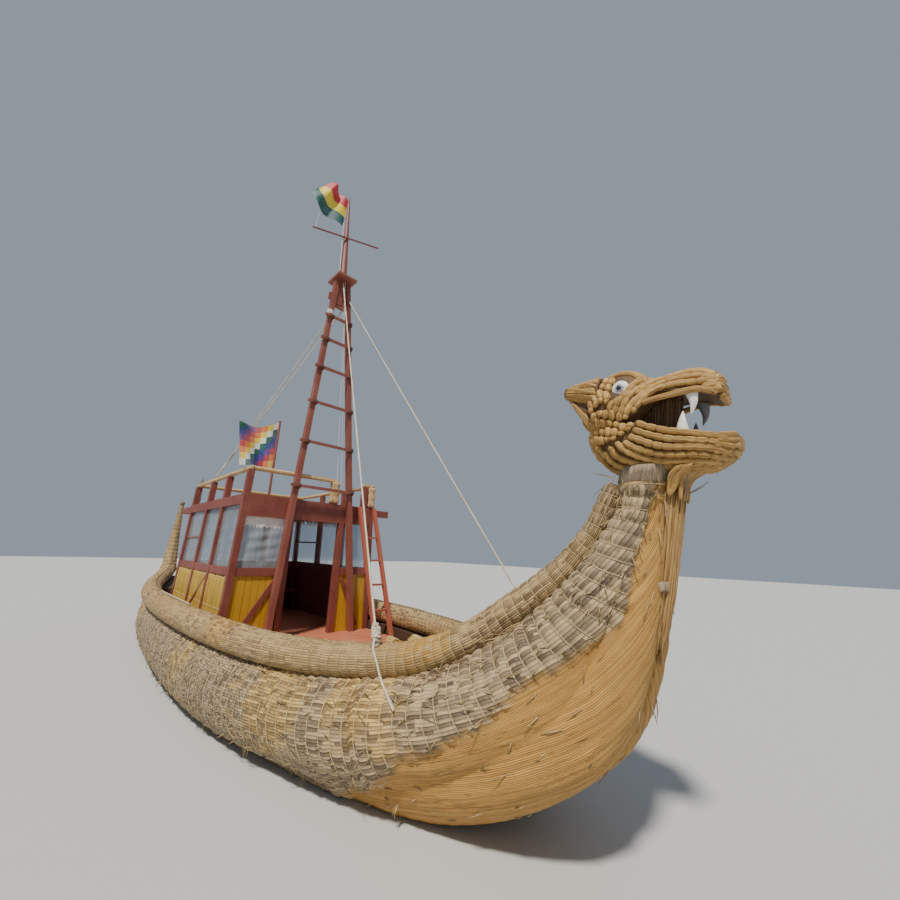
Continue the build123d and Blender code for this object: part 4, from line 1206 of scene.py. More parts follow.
def stemReeds():
    pile = Pile(51)
    fronts, heights, depths, breadths = zip(*stem["rows"])
    for index in range(stem["reeds"]):
        angle = math.radians(pile.random.uniform(-165, 165))
        depthShare = 1 + 0.10 * (index % 3) - 0.10
        low = heights[0] + pile.random.uniform(-0.05, 0.25)
        high = heights[-1] + pile.random.uniform(-0.06, 0.12)
        levels = np.linspace(low, high, 12)
        front, depth, breadth = (np.interp(levels, heights, column) for column in (fronts, depths, breadths))
        wave = np.array([0.007 * lump(level * 1.5, index * 3.1, 0.5, 1.6) for level in levels])
        x = front - depth + depth * math.cos(angle) * depthShare + wave
        y = breadth * math.sin(angle) * depthShare + wave * 1.4
        sweep(pile, np.stack([x, y, levels], -1), pile.random.uniform(0.0045, 0.0085), 6)
    return pile


def collarReeds():
    pile = Pile(52)
    low, high = stem["collarLevels"]
    for index in range(stem["collarReeds"]):
        angle = 2 * math.pi * index / stem["collarReeds"]
        x = stem["collarCentre"] + stem["collarHalfLength"] * math.cos(angle)
        y = stem["collarHalfBreadth"] * math.sin(angle)
        levels = np.linspace(low + pile.random.uniform(0, 0.05), high, 6)
        lean = (levels - high) * 0.24
        points = np.stack([x + lean * math.cos(angle) * 0.2 + (levels - high) * 0.32, y + lean * math.sin(angle),
                           levels], -1)
        sweep(pile, points, pile.random.uniform(0.007, 0.0095), 6)
    return pile


def foldedReeds():
    # bundle ends that bend from under the jaw down the front of the neck
    pile = Pile(54)
    for index in range(stem["foldedReeds"]):
        offset = -0.15 + 0.30 * index / (stem["foldedReeds"] - 1)
        line = [[x, offset * share, z] for x, share, z in stem["foldedLine"]]
        line[0][0] += pile.random.uniform(-0.03, 0.04)
        line[-1][2] += pile.random.uniform(-0.05, 0.03)
        sweep(pile, smoothPath(line, 0.02), pile.random.uniform(0.011, 0.016), 7, rounded=True)
    for side in (-1, 1):
        for index in range(stem["sideReeds"]):
            line = smoothPath([(x + step * index, side * y, z) for x, step, y, z in stem["sideLine"]], 0.02)
            line[:, 1] += pile.random.uniform(-0.01, 0.01)
            sweep(pile, line, 0.012, 7, rounded=True)
    return pile


def stemPatch():
    # a small grey wad of reeds in the crease between hull and stem
    pile = Pile(55)
    start, end = (np.array(point) for point in stem["patchEnds"])
    for index in range(stem["patchReeds"]):
        x, y = start + (end - start) * index / (stem["patchReeds"] - 1)
        levels = np.linspace(*stem["patchLevels"], 5) + pile.random.uniform(-0.006, 0.006)
        sweep(pile, np.stack([np.full(5, x) + 0.004, np.full(5, y) - 0.006, levels], -1), 0.0075, 6, rounded=True)
    return pile


def twigs():
    pile = Pile(53)
    for x, y, z, way in stem["twigs"]:
        for _ in range(2):
            direction = np.array(way) + [pile.random.gauss(0, 0.15) for _ in range(3)]
            direction /= np.linalg.norm(direction)
            long = pile.random.uniform(0.08, 0.17)
            share = np.linspace(-0.2, 1, 6)[:, None]
            sweep(pile, np.array([x, y, z]) + direction * long * share, np.linspace(0.0045, 0.002, 6), 4)
    return pile


stemReed = reedMaterial("stemReed", *stem["reed"])
greyReed = reedMaterial("greyReed", *stem["greyReed"])
stemReeds().build("stemReeds", stemReed, "stem_reed", replaced=["stem_bundle"])
stemPatch().build("stemPatch", greyReed, "stem_reed")
collarReeds().build("collarReeds", greyReed, "roll_reed", replaced=["neck_collar"])
foldedReeds().build("foldedReeds", headReed, "head_reed")
twigs().build("neckTwigs", greyReed, "stem_reed")
print("scene: neck finished")


# Cabin: culm panels, plank boards, window sheet, straw fringe and wrapped rails

cabin = {
    "culmSpacing": 0.034,
    "culmRadius": 0.0165,
    "stitchHeights": (0.03, 0.5, 0.96),
    "boardWidth": 0.094,
    "boardGap": 0.004,
    "fringeBlades": 320,
    "fringeDrop": 0.235,
    "fringeSpan": (-0.335, 0.455),  # y
    "fringeDepth": (1.358, 1.378),  # x
    "fringeTop": 2.665,
    "wrapEvery": 0.085,
    "wrapStep": 0.012,
    "railRadius": 0.033,
    "wrappedPosts": [(1.395, 0.33), (1.395, 1.075)],  # x, y
    "postReeds": 22,
    "postLevels": (2.83, 3.2),
    "postReach": 0.058,
    # braces and rails on the port side: two ends, width, depth and the way that the depth lies
    "sideTrim": [((0.355, 1.15, 1.62), (-0.452, 1.19, 0.95), 0.045, 0.022, (0, 1, 0)),
                 ((-0.558, 1.111, 2.19), (-1.57, 1.111, 2.19), 0.042, 0.03, (0, 0, 1))],
    "doorRail": ((1.4, -0.34, 2.515), (1.4, 0.46, 2.515), 0.03, 0.02, (0, 0, 1)),
    # boards behind the panels: middle and width of each bay, and boards in a bay
    "sideBays": [(-1.064, 1.012), (-0.048, 0.84), (0.906, 0.888)],
    "sideBoards": 8,
    "aftBays": [(-0.767, 0.685), (0.0, 0.67), (0.767, 0.685)],
    "aftBoards": 6,
    "sheetX": 1.395,
    "sheetHalf": (1.079, 1.11),  # y of its outer edge, at the top and at the foot
    "sheetInner": 0.43,
    "sheetTop": 2.5,
    "sheetDrop": 0.74,
    "sheetFlat": (0.68, 0.76),
    # radius, sides and middle line of the poles at its top
    "sheetPoles": [(0.011, 8, [(1.372, -1.07, 2.4), (1.371, -0.75, 2.44), (1.372, -0.44, 2.425)]),
                   (0.006, 6, [(1.374, -1.02, 2.28), (1.371, -0.7, 2.47), (1.372, -0.52, 2.45)])],
    # looks, as for the rolls
    "panelReed": ((0.06, 0.03, 0.004), (0.32, 0.17, 0.01), (0.76, 0.5, 0.06), 0.006, 0.4, 0.5, 0.7,
                  (0.5, 0.32, 0.05)),
    "wrapReed": ((0.12, 0.055, 0.018), (0.46, 0.265, 0.09), (0.8, 0.6, 0.31), 0.008, 0.3),
    "straw": ((0.05, 0.025, 0.012), (0.16, 0.085, 0.04), (0.34, 0.21, 0.1), 0.004, 0.2),
}


def timberBox(pile, centre, halves, axes=None, bevel=0.003, tint=None):
    # a board with eased edges; axes are its three directions
    axes = np.eye(3) if axes is None else np.array(axes, float)
    shape = bmesh.new()
    for corner in range(8):
        signs = [1 if corner >> axis & 1 else -1 for axis in range(3)]
        for kept in range(3):
            local = [sign * (half - (0 if axis == kept else bevel))
                     for axis, (sign, half) in enumerate(zip(signs, halves))]
            shape.verts.new(np.array(centre) + np.array(local) @ axes)
    bmesh.ops.convex_hull(shape, input=shape.verts)
    shape.verts.index_update()
    points = [vertex.co[:] for vertex in shape.verts]
    start, tint = pile.count, pile.random.random() if tint is None else tint
    pile.add(points, [], [[0, 0, tint]] * len(points))
    pile.faces += [[start + vertex.index for vertex in face.verts] for face in shape.faces]
    shape.free()


def beamBetween(pile, start, end, width, depth, out=(0, 1, 0), bevel=0.003):
    # a straight piece of timber from one point to another, its depth lying along out
    start, end = np.array(start, float), np.array(end, float)
    along = (end - start) / np.linalg.norm(end - start)
    across = np.cross(along, out)
    across /= np.linalg.norm(across)
    axes = [along, across, np.cross(along, across)]
    timberBox(pile, (start + end) / 2, (np.linalg.norm(end - start) / 2, width / 2, depth / 2), axes, bevel)


def slabCorners(points):
    # corners of an upright board, ordered by height, then face, then place along it
    spans = np.ptp(points[:, :2], axis=0)
    along = 0 if spans[0] > spans[1] else 1
    across = 1 - along
    ordered = points[np.argsort(points[:, 2])]
    corners = np.zeros((2, 2, 2, 3))
    for level, group in enumerate((ordered[:4], ordered[4:])):
        group = group[np.argsort(group[:, along])]
        for end, pair in enumerate((group[:2], group[2:])):
            corners[level, :, end] = pair[np.argsort(pair[:, across])]
    return corners


def onSlab(corners, up, face, along):
    level = corners[0] * (1 - up) + corners[1] * up
    row = level[0] * (1 - face) + level[1] * face
    return row[0] * (1 - along) + row[1] * along


def culmPanels():
    culms, stitches = Pile(61), Pile(62)
    for points in islandsOf("cabin_reed_panels"):
        corners = slabCorners(points)
        width = np.linalg.norm(onSlab(corners, 0, 0, 0) - onSlab(corners, 0, 0, 1))
        count = int(width / cabin["culmSpacing"])
        face = 1.12 if points[:, 1].min() > 1 else -0.12
        for index in range(count):
            place = (index + 0.5) / count
            lean = culms.random.uniform(-0.12, 0.12) / count
            heights = np.linspace(0.0, 1.0 - 0.03 * culms.random.random(), 13)
            line = [onSlab(corners, up, face, np.clip(place + lean * math.sin(3 * up), 0.01, 0.99))
                    for up in heights]
            near = np.min([np.abs(heights - row) for row in cabin["stitchHeights"]], axis=0)
            radii = cabin["culmRadius"] * (0.72 + 0.42 * smoothstep(near, 0.0, 0.14))
            sweep(culms, line, radii * culms.random.uniform(0.9, 1.12), 6)
        for row in cabin["stitchHeights"]:
            line = [onSlab(corners, row, face * 1.6 - 0.3, along) + [0, 0, 0.004 * math.sin(along * 90)]
                    for along in np.linspace(0.0, 1.0, 40)]
            sweep(stitches, line, 0.0042, 5)
    return culms, stitches


def plankBoards():
    pile = Pile(63)
    for points in islandsOf("cabin_plank_panels"):
        corners = slabCorners(points)
        low, high = onSlab(corners, 0, 0.5, 0), onSlab(corners, 0, 0.5, 1)
        count = round((high[1] - low[1]) / cabin["boardWidth"])
        for index in range(count):
            middle = low + (high - low) * (index + 0.5) / count
            wide = (high[1] - low[1]) / count - cabin["boardGap"]
            timberBox(pile, middle + [pile.random.uniform(-0.0015, 0.0015), 0, 0.45], (0.014, wide / 2, 0.449))
    return pile


def cabinStuds():
    # braces, rails and the boards behind the panels
    pile = Pile(64)
    for side in (-1, 1):
        for start, end, width, depth, out in cabin["sideTrim"]:
            beamBetween(pile, np.array(start) * (1, side, 1), np.array(end) * (1, side, 1), width, depth, out)
    beamBetween(pile, *cabin["doorRail"])
    for side in (-1, 1):
        for x, wide in cabin["sideBays"]:
            for index in range(cabin["sideBoards"]):
                place = x + wide * ((index + 0.5) / cabin["sideBoards"] - 0.5)
                beamBetween(pile, (place, side * 1.128, 0.752), (place, side * 1.1, 1.648),
                            wide / cabin["sideBoards"] - 0.004, 0.012)
    for y, wide in cabin["aftBays"]:
        for index in range(cabin["aftBoards"]):
            middle = (-1.59, y + wide * ((index + 0.5) / cabin["aftBoards"] - 0.5), 1.2)
            timberBox(pile, middle, (0.01, wide / cabin["aftBoards"] / 2 - 0.002, 0.449))
    return pile


panelReed = reedMaterial("panelReed", *cabin["panelReed"])
wrapReed = reedMaterial("wrapReed", *cabin["wrapReed"])
culms, stitches = culmPanels()
culms.build("panelCulms", panelReed, "panel_reed")
stitches.build("panelStitches", netCord, "rope")
finishNodes(["cabin_reed_panels"], darkReed)
plankBoards().build("plankBoards", yellowPlank, "yellow_plank", smooth=False, replaced=["cabin_plank_panels"])

cabinStuds().build("cabinStuds", maroonUp, "maroon_timber", smooth=False)

headBoard = {"start": (1.512, -0.02, 6.6), "end": (1.512, -0.3, 6.63), "width": 0.16, "depth": 0.012}
mastBoard = Pile(65)
beamBetween(mastBoard, **headBoard, out=(1, 0, 0))
mastBoard.build("mastHeadBoard", mastAcross, "mast_timber", smooth=False)


def glassMaterial():
    material, tree, shader = newMaterial("windowGlass", 0.06)
    place = placeOf(tree)
    smear = noiseOf(place, 3.0, 7, 0.72, 1.2)
    tone = mixColour(spread(smear, 0.4, 0.75), colour(0.78, 0.88, 0.95), colour(0.55, 0.62, 0.66))
    feed(tree, shader, tone, spread(smear, 0.35, 1.9))
    shader.inputs["Transmission Weight"].default_value = 0.86
    shader.inputs["IOR"].default_value = 1.2
    return material


finishNodes(["window_panes"], glassMaterial())


def clothGrid(rows, columns, place):
    # a single thin cloth; place gives a point for shares across and down
    points = np.array([[place(u, v) for u in np.linspace(0, 1, columns)] for v in np.linspace(0, 1, rows)])
    lay = np.array([[[u, v, 0.5] for u in np.linspace(0, 1, columns)] for v in np.linspace(0, 1, rows)])
    pile = Pile(66)
    pile.add(points.reshape(-1, 3), gridFaces(rows, columns), lay.reshape(-1, 3))
    return pile


def sheetMaterial():
    # dusty translucent plastic, pale where it is torn at the top
    material, tree, shader = newMaterial("plasticSheet", 0.35)
    place = placeOf(tree)
    lay = layOf(tree)
    streak = stretched(place, (1, 14, 3))
    dirt = noiseOf(streak, 2.0, 7, 0.7)
    torn = spread(plus(lay[1], times(dirt, 0.3)), 0.36, 0.33)
    tone = mixColour(spread(dirt, 0.35, 0.7), colour(0.36, 0.4, 0.42), colour(0.2, 0.22, 0.23))
    tone = mixColour(torn, tone, colour(0.78, 0.74, 0.68))
    feed(tree, shader, tone, spread(dirt, -0.1, 1.5), dirt, 0.5, 0.01)
    solid = plus(times(torn, 0.25), times(dirt, 0.5))
    tree.links.new(plus(solid, 0.42, True), shader.inputs["Alpha"])
    return material


def frontSheetPlace(u, v):
    top, foot = cabin["sheetHalf"]
    half = top - (top - foot) * v
    y = -half + (half - cabin["sheetInner"]) * u
    pull = math.sin(math.pi * u) * math.sin(math.pi * v)
    ripple = pull * (0.010 * math.sin(u * 17 + v * 3) + 0.006 * math.sin(v * 31 + u * 5))
    return (cabin["sheetX"] + ripple, y, cabin["sheetTop"] - cabin["sheetDrop"] * v)


frontSheet = clothGrid(48, 48, frontSheetPlace).build("frontSheet", sheetMaterial(), "plastic_sheet",
                                                      replaced=["front_window_sheet"])
sheetPole = Pile(67)
for radius, around, line in cabin["sheetPoles"]:
    sweep(sheetPole, line, radius, around)
sheetPole.build("sheetPole", strayReed, "panel_reed")


def strawFringe():
    pile = Pile(68)
    for _ in range(cabin["fringeBlades"]):
        y = pile.random.uniform(*cabin["fringeSpan"])
        drop = cabin["fringeDrop"] * pile.random.uniform(0.72, 1.08)
        x = pile.random.uniform(*cabin["fringeDepth"])
        sway, curl = pile.random.gauss(0, 0.012), pile.random.uniform(-0.012, 0.012)
        share = np.linspace(0, 1, 6)
        line = np.stack([x - 0.006 * share, y + sway * share + curl * share ** 3,
                         cabin["fringeTop"] - drop * share], -1)
        sweep(pile, line, np.linspace(0.0045, 0.0015, 6), 4)
    return pile


fringeStraw = reedMaterial("fringeStraw", *cabin["straw"])
strawFringe().build("strawFringe", fringeStraw, "straw", replaced=["straw_fringe"])


def lineOf(points):
    # the two ends of a straight round solid
    middle = points.mean(0)
    along = np.linalg.svd(points - middle)[2][0]
    reach = (points - middle) @ along
    return middle + along * reach.min(), middle + along * reach.max()


def wrappedRails():
    # reed bundles wrapped round and round with reed
    pile = Pile(69)
    for name in ("roof_side_rails", "roof_cross_rails"):
        for points in islandsOf(name):
            start, end = lineOf(points)
            count = max(8, int(np.linalg.norm(end - start) / cabin["wrapStep"]))
            line = start + (end - start) * np.linspace(0, 1, count)[:, None]
            offset = pile.random.uniform(0, 1)

            def relief(length, angle):
                beat = np.abs(np.sin(math.pi * (length / cabin["wrapEvery"] + offset))) ** 0.4
                return 0.13 * beat - 0.06 + 0.05 * np.abs(np.sin(angle * 5 + length * 9))

            sweep(pile, line, cabin["railRadius"], 16, relief=relief)
    for x, y in cabin["wrappedPosts"]:
        for index in range(cabin["postReeds"]):
            angle = 2 * math.pi * index / cabin["postReeds"]
            heights = np.linspace(*cabin["postLevels"], 9)
            reach = cabin["postReach"] + 0.006 * np.sin(heights * 40)
            reach = reach / np.maximum(abs(math.cos(angle)), abs(math.sin(angle))) ** 0.7
            line = np.stack([x + reach * math.cos(angle), y + reach * math.sin(angle) * np.ones(9), heights], -1)
            sweep(pile, line, 0.0105, 6)
    return pile


wrappedRails().build("wrappedRails", wrapReed, "rail_reed", replaced=["roof_side_rails", "roof_cross_rails"])
print("scene: cabin dressed")


# Spare bundles on the foredeck and the loose reeds of the horns

spare = {
    # start and end of a bundle's middle line, and its radius
    "bundles": [((3.05, 0.9, 0.846), (3.7, 0.73, 0.846), 0.095),
                ((2.7, 0.735, 0.818), (2.95, 0.685, 0.818), 0.068)],
    "reedRadius": 0.0115,
    "tiesAt": (0.22, 0.27, 0.73, 0.78),
    "reed": ((0.22, 0.12, 0.02), (0.66, 0.46, 0.09), (0.86, 0.7, 0.26), 0.008, 0.3),
}


def reedBundle(pile, ties, start, end, radius):
    start, end = np.array(start), np.array(end)
    line = start + (end - start) * np.linspace(0, 1, 12)[:, None]
    tangents, firsts, seconds = framesAlong(line)
    rings = int(radius / (spare["reedRadius"] * 2))
    for ring in range(rings + 1):
        reach = (radius - spare["reedRadius"]) * ring / max(rings, 1)
        count = max(1, int(2 * math.pi * reach / (spare["reedRadius"] * 2)))
        for index in range(count):
            angle = 2 * math.pi * index / count + pile.random.uniform(-0.05, 0.05)
            swell = reach * (1 - 0.10 * np.exp(-((np.linspace(0, 1, 12) - 0.25) / 0.06) ** 2)
                             - 0.10 * np.exp(-((np.linspace(0, 1, 12) - 0.75) / 0.06) ** 2))
            points = (line + firsts * (swell * math.cos(angle))[:, None]
                      + seconds * (swell * math.sin(angle))[:, None])
            points[0] += tangents[0] * pile.random.uniform(0, 0.03)
            points[-1] -= tangents[0] * pile.random.uniform(0, 0.03)
            sweep(pile, points, spare["reedRadius"], 6)
    for share in spare["tiesAt"]:
        ring = circle(firsts[0], seconds[0], np.linspace(0, 2 * math.pi, 30))
        sweep(ties, start + (end - start) * share + radius * 0.955 * ring, 0.005, 5)


bundles, ties = Pile(71), Pile(72)
for start, end, radius in spare["bundles"]:
    reedBundle(bundles, ties, start, end, radius)
yellowReed = reedMaterial("yellowReed", *spare["reed"])
bundles.build("spareReedBundles", yellowReed, "roll_reed", replaced=["spare_bundles"])
ties.build("spareBundleTies", netCord, "rope")


horn = {
    "foot": (-7.535, 0.215, 3.31),
    "reeds": 46,
    "reach": 0.048,
    "heights": (0.25, 0.98),
    "aftmost": -7.62,
    "knobReeds": 26,
    "reed": ((0.05, 0.03, 0.018), (0.17, 0.105, 0.06), (0.36, 0.25, 0.15), 0.008, 0.3),
}


def hornReeds():
    pile = Pile(73)
    x, y, z = horn["foot"]
    for _ in range(horn["reeds"]):
        angle, reach = pile.random.uniform(0, 6.28), horn["reach"] * math.sqrt(pile.random.random())
        foot = np.array([x + reach * math.cos(angle), y + reach * math.sin(angle), z])
        high = pile.random.uniform(*horn["heights"])
        lean = np.array([pile.random.gauss(0.02, 0.035), pile.random.gauss(0, 0.045), 0]) * high
        share = np.linspace(0, 1, 8)[:, None]
        line = foot + np.array([0, 0, high]) * share + lean * share ** 1.6
        line[:, 0] = np.maximum(line[:, 0], horn["aftmost"])
        sweep(pile, line, np.linspace(0.01, 0.004, 8), 5)
    return pile


def hornKnob():
    # reed ends wrapped into a knob at the tip of the starboard horn
    pile = Pile(74)
    x, y, z = rolls["starboard"][0][0]
    for index in range(horn["knobReeds"]):
        angle = 2 * math.pi * index / horn["knobReeds"]
        heights = np.linspace(-0.1, 0.035, 8)
        reach = 0.060 * np.sqrt(np.clip(1 - ((heights + 0.03) / 0.07) ** 2, 0.05, 1))
        sweep(pile, np.stack([x + reach * math.cos(angle), y + reach * math.sin(angle), z + heights], -1), 0.011, 5)
    return pile


hornDark = reedMaterial("hornDark", *horn["reed"])
hornReeds().build("hornSpikes", hornDark, "roll_reed", replaced=["horn_reeds"])
hornKnob().build("hornKnob", hornDark, "roll_reed")
print("scene: loose reeds placed")


# Rigging: laid rope, lashings and halyards, all of it taut and made fast at both ends

rig = {
    "ropeRadius": 0.0105,
    "strandTwist": 95.0,
    "lashingRadius": 0.007,
    "rungHeights": (3.03, 3.78, 4.49, 5.155, 5.72, 6.2),
    "mastX": 1.4903,
    "rungX": 1.5613,
    "shroudTop": (1.551, -0.055, 6.99),
    "shroudKnot": (4.44, -0.745, 1.365),
    "shroudTail": [(4.47, -0.765, 1.32), (4.508, -0.805, 1.24), (4.572, -0.826, 1.19), (4.628, -0.836, 1.132),
                   (4.65, -0.822, 1.062), (4.69, -0.82, 1.005), (4.782, -0.842, 0.962), (4.896, -0.884, 0.928),
                   (4.972, -0.899, 0.889)],
    "shroudSag": 0.035,
    "staySag": 0.012,
    "knotWay": (0.27, -0.08, -0.96),
    # loops of the knot: start and end along its way, how many, and their size
    "knotUpper": (-0.02, 0.07, 6, 0.036),
    "knotLower": (0.08, 0.25, 9, 0.042),
    "lashingHalves": (0.074, 0.062),
    # white bindings, upright: height on the starboard leg, or place at the ladder, then half sizes, turns and cord
    "legBinding": (6.28, (0.054, 0.066), 9, 0.0065, 0.013),
    "ladderBinding": ((2.235, 0.815, 0.93), (0.048, 0.042), 7, 0.0075, 0.015),
    # two ends, sag, radius and sides of each halyard
    "halyards": [((1.555, -0.02, 7.03), (1.545, 0.285, 3.05), 0.0, 0.004, 5),
                 ((1.575, -0.03, 7.03), (1.56, 0.36, 3.04), 0.0, 0.003, 5),
                 ((1.4, -0.13, 8.45), (1.545, -0.15, 7.11), 0.0, 0.006, 6),
                 ((1.303, -0.6, 8.49), (1.459, -0.7, 7.905), 0.01, 0.003, 5)],
    # dark and light tone of the ropes
    "pale": ((0.36, 0.27, 0.17), (0.82, 0.74, 0.6)),
    "white": ((0.5, 0.48, 0.44), (0.88, 0.87, 0.84)),
    "worn": ((0.13, 0.085, 0.05), (0.44, 0.33, 0.22)),
    "tarred": ((0.045, 0.02, 0.014), (0.2, 0.095, 0.06)),
}


def mastLeg(z, side):
    # y of a mast leg's middle at a height
    share = (z - 0.75) / 6.29
    return 0.14 - 0.185 * share + side * (0.69 - 0.578 * share)


def laidRope(pile, points, radius, around=9):
    tint = pile.random.random()
    sweep(pile, points, radius, around, tint=tint,
          relief=lambda length, angle: 0.20 * np.abs(np.sin(1.5 * angle + length * rig["strandTwist"])) - 0.12)


def sagging(start, end, sag, step=0.03):
    start, end = np.array(start, float), np.array(end, float)
    share = np.linspace(0, 1, int(np.linalg.norm(end - start) / step))[:, None]
    return start + (end - start) * share - np.array([0, 0, 1]) * 4 * sag * share * (1 - share)


def loopsAround(pile, centre, first, second, third, sizes, turns, radius, spacing):
    # a lashing: turns of cord of the given half sizes, each a little further along the third direction
    first, second, third = (np.array(way, float) for way in (first, second, third))
    angles = np.linspace(0, 2 * math.pi * turns, int(26 * turns))
    shift = (angles / (2 * math.pi) - turns / 2) * spacing
    line = (np.array(centre) + np.outer(np.cos(angles) * sizes[0], first)
            + np.outer(np.sin(angles) * sizes[1], second) + np.outer(shift, third))
    line += np.outer(0.003 * np.sin(angles * 3.3), third)
    sweep(pile, line, radius, 6)


def ropeMaterial(name, dark, light):
    material, tree, shader = newMaterial(name, 0.8)
    lay = layOf(tree)
    # bands across the strands, painted lighter and darker as the light and shade of the lay, with fibre fuzz and
    # real grime
    turn = plus(times(lay[0], 30.0), times(lay[1], 36.0))
    strand = math2("ABSOLUTE", minus(math2("FRACT", turn), 0.5))
    place = placeOf(tree)
    fuzz = noiseOf(place, 160.0, 4)
    grime = noiseOf(place, 4.0, 5)
    strandLightAndGrime = plus(times(strand, 1.1), times(fuzz, 0.6))
    strandLightAndGrime = minus(strandLightAndGrime, times(spread(grime, 0.45, 0.8), 0.35), True)
    feed(tree, shader, mixColour(strandLightAndGrime, colour(*dark), colour(*light)), spread(fuzz, -1.0, 1.3), strandLightAndGrime, 0.8,
         0.003)
    return material


paleRope = ropeMaterial("paleRope", *rig["pale"])
whiteRope = ropeMaterial("whiteRope", *rig["white"])
wornRope = ropeMaterial("wornRope", *rig["worn"])
tarredCord = ropeMaterial("tarredCord", *rig["tarred"])
shroud = Pile(81)
laidRope(shroud, sagging(rig["shroudTop"], rig["shroudKnot"], rig["shroudSag"]), rig["ropeRadius"])
tail = smoothPath(rig["shroudTail"], 0.02)
rollLine, rollRadius = rolls["starboard"]
for index, point in enumerate(tail):
    # the tail lies over the outside of the roll
    nearest = np.argmin(np.linalg.norm(rollLine - point, axis=1))
    out = point - rollLine[nearest]
    reach = rollRadius[nearest] * 1.06 + rig["ropeRadius"]
    if np.linalg.norm(out) < reach:
        tail[index] = rollLine[nearest] + out / np.linalg.norm(out) * reach
laidRope(shroud, evened(tail, 3), rig["ropeRadius"])
shroud.build("foreShroudRope", paleRope, "rope", replaced=["fore_shroud"])
stays = Pile(82)
for name in ("forestay", "aft_stays"):
    for points in islandsOf(name):
        start, end = lineOf(points)
        laidRope(stays, sagging(start, end, rig["staySag"]), rig["ropeRadius"] * 0.9, 7)
stays.build("stayRopes", paleRope, "rope", replaced=["forestay", "aft_stays"])
knotPale, knotDark = Pile(83), Pile(84)
knot = np.array(rig["shroudKnot"])
down = np.array(rig["knotWay"])
for pile, (start, end, count, size) in ((knotPale, rig["knotUpper"]), (knotDark, rig["knotLower"])):
    for index in range(count):
        centre = knot + down * (start + (end - start) * index / (count - 1))
        centre += [pile.random.uniform(-0.012, 0.012), pile.random.uniform(-0.012, 0.012), 0]
        tilt = np.array([pile.random.gauss(0, 0.5), pile.random.gauss(0, 0.5), 1.0])
        tilt /= np.linalg.norm(tilt)
        first = np.cross(tilt, [0, 1, 0])
        first /= np.linalg.norm(first)
        loopsAround(pile, centre, first, np.cross(tilt, first), tilt,
                    (size * pile.random.uniform(0.8, 1.2), size * pile.random.uniform(0.6, 1.0)), 1.3, 0.0125, 0.018)
knotPale.build("shroudKnotUpper", paleRope, "rope")
knotDark.build("shroudKnotLower", wornRope, "rope")
lashings = Pile(85)
for z in rig["rungHeights"]:
    for side in (-1, 1):
        y = mastLeg(z, side)
        for lean in (-1, 1):
            loopsAround(lashings, ((rig["mastX"] + rig["rungX"]) / 2, y, z), (1, 0, 0), (0, 0.75, 0.66 * lean),
                        (0, -0.66 * lean, 0.75), rig["lashingHalves"], 2.5, rig["lashingRadius"] * 0.7, 0.011)
lashings.build("rungLashings", tarredCord, "rope")
bindings = Pile(86)
height, *legBinding = rig["legBinding"]
for place, *binding in (((rig["mastX"], mastLeg(height, -1), height), *legBinding), rig["ladderBinding"]):
    loopsAround(bindings, place, *np.eye(3), *binding)
for index in range(3):
    loopsAround(bindings, (2.29 + 0.02 * index, 0.79, 0.86 - 0.02 * index), (0.6, 0.5, 0.6), (0, 0.8, -0.6),
                (1, 0, 0), (0.05, 0.035), 1.4, 0.0075, 0.02)
bindings.build("whiteBindings", whiteRope, "rope")
halyards = Pile(87)
for start, end, sag, radius, around in rig["halyards"]:
    laidRope(halyards, sagging(start, end, sag), radius, around)
halyards.build("halyardCords", whiteRope, "rope")
print("scene: rigging made fast")


# Flags: thin cloth between four edge lines, with a wave running out from the hoist

flag = {
    # y and z of the edges, from the hoist out to the fly
    "tricolourTop": [(-0.044, 9.15), (-0.15, 9.185), (-0.265, 9.235), (-0.345, 9.3), (-0.43, 9.352)],
    "tricolourBottom": [(-0.1, 8.458), (-0.24, 8.478), (-0.42, 8.49), (-0.6, 8.505), (-0.712, 8.59),
                        (-0.762, 8.7), (-0.785, 8.845)],
    "tricolourX": 1.303,
    "tricolourWave": (0.055, 3.2, 0.6),
    "checkTop": [(-0.718, 4.066), (-0.86, 3.99), (-1.01, 3.925), (-1.17, 3.925), (-1.328, 3.938)],
    "checkBottom": [(-0.718, 3.318), (-0.85, 3.29), (-0.98, 3.3), (-1.1, 3.276), (-1.205, 3.272)],
    "checkX": 1.2,
    "checkWave": (0.048, 2.3, 2.0),
    "stripes": [(0.62, 0.035, 0.04), (0.86, 0.66, 0.02), (0.015, 0.115, 0.105)],  # from the top edge down
    # the diagonals, from the upper fly corner to the lower hoist corner
    "diagonals": [
        (0.02, 0.13, 0.06), (0.02, 0.05, 0.22), (0.16, 0.045, 0.2), (0.52, 0.035, 0.06), (0.8, 0.22, 0.05),
        (0.86, 0.66, 0.06), (0.86, 0.85, 0.8), (0.015, 0.14, 0.1), (0.02, 0.055, 0.26), (0.13, 0.05, 0.25),
        (0.48, 0.03, 0.06), (0.74, 0.22, 0.06), (0.85, 0.62, 0.06)],
}


def betweenEdges(top, bottom, x, wave):
    size, beats, phase = wave
    upper = smoothPath([(0, y, z) for y, z in top], 0.01)
    lower = smoothPath([(0, y, z) for y, z in bottom], 0.01)

    def place(u, v):
        edges = []
        for line in (upper, lower):
            at = np.linspace(0, 1, len(line))
            edges.append(sampled(u, at, line))
        point = edges[0] * (1 - v) + edges[1] * v
        swing = size * min(1.0, u * 2.2)
        point[0] = (x + swing * math.sin(beats * math.pi * u + phase * v + 0.4)
                    + 0.25 * swing * math.sin(9 * u + 7 * v))
        return point

    return place


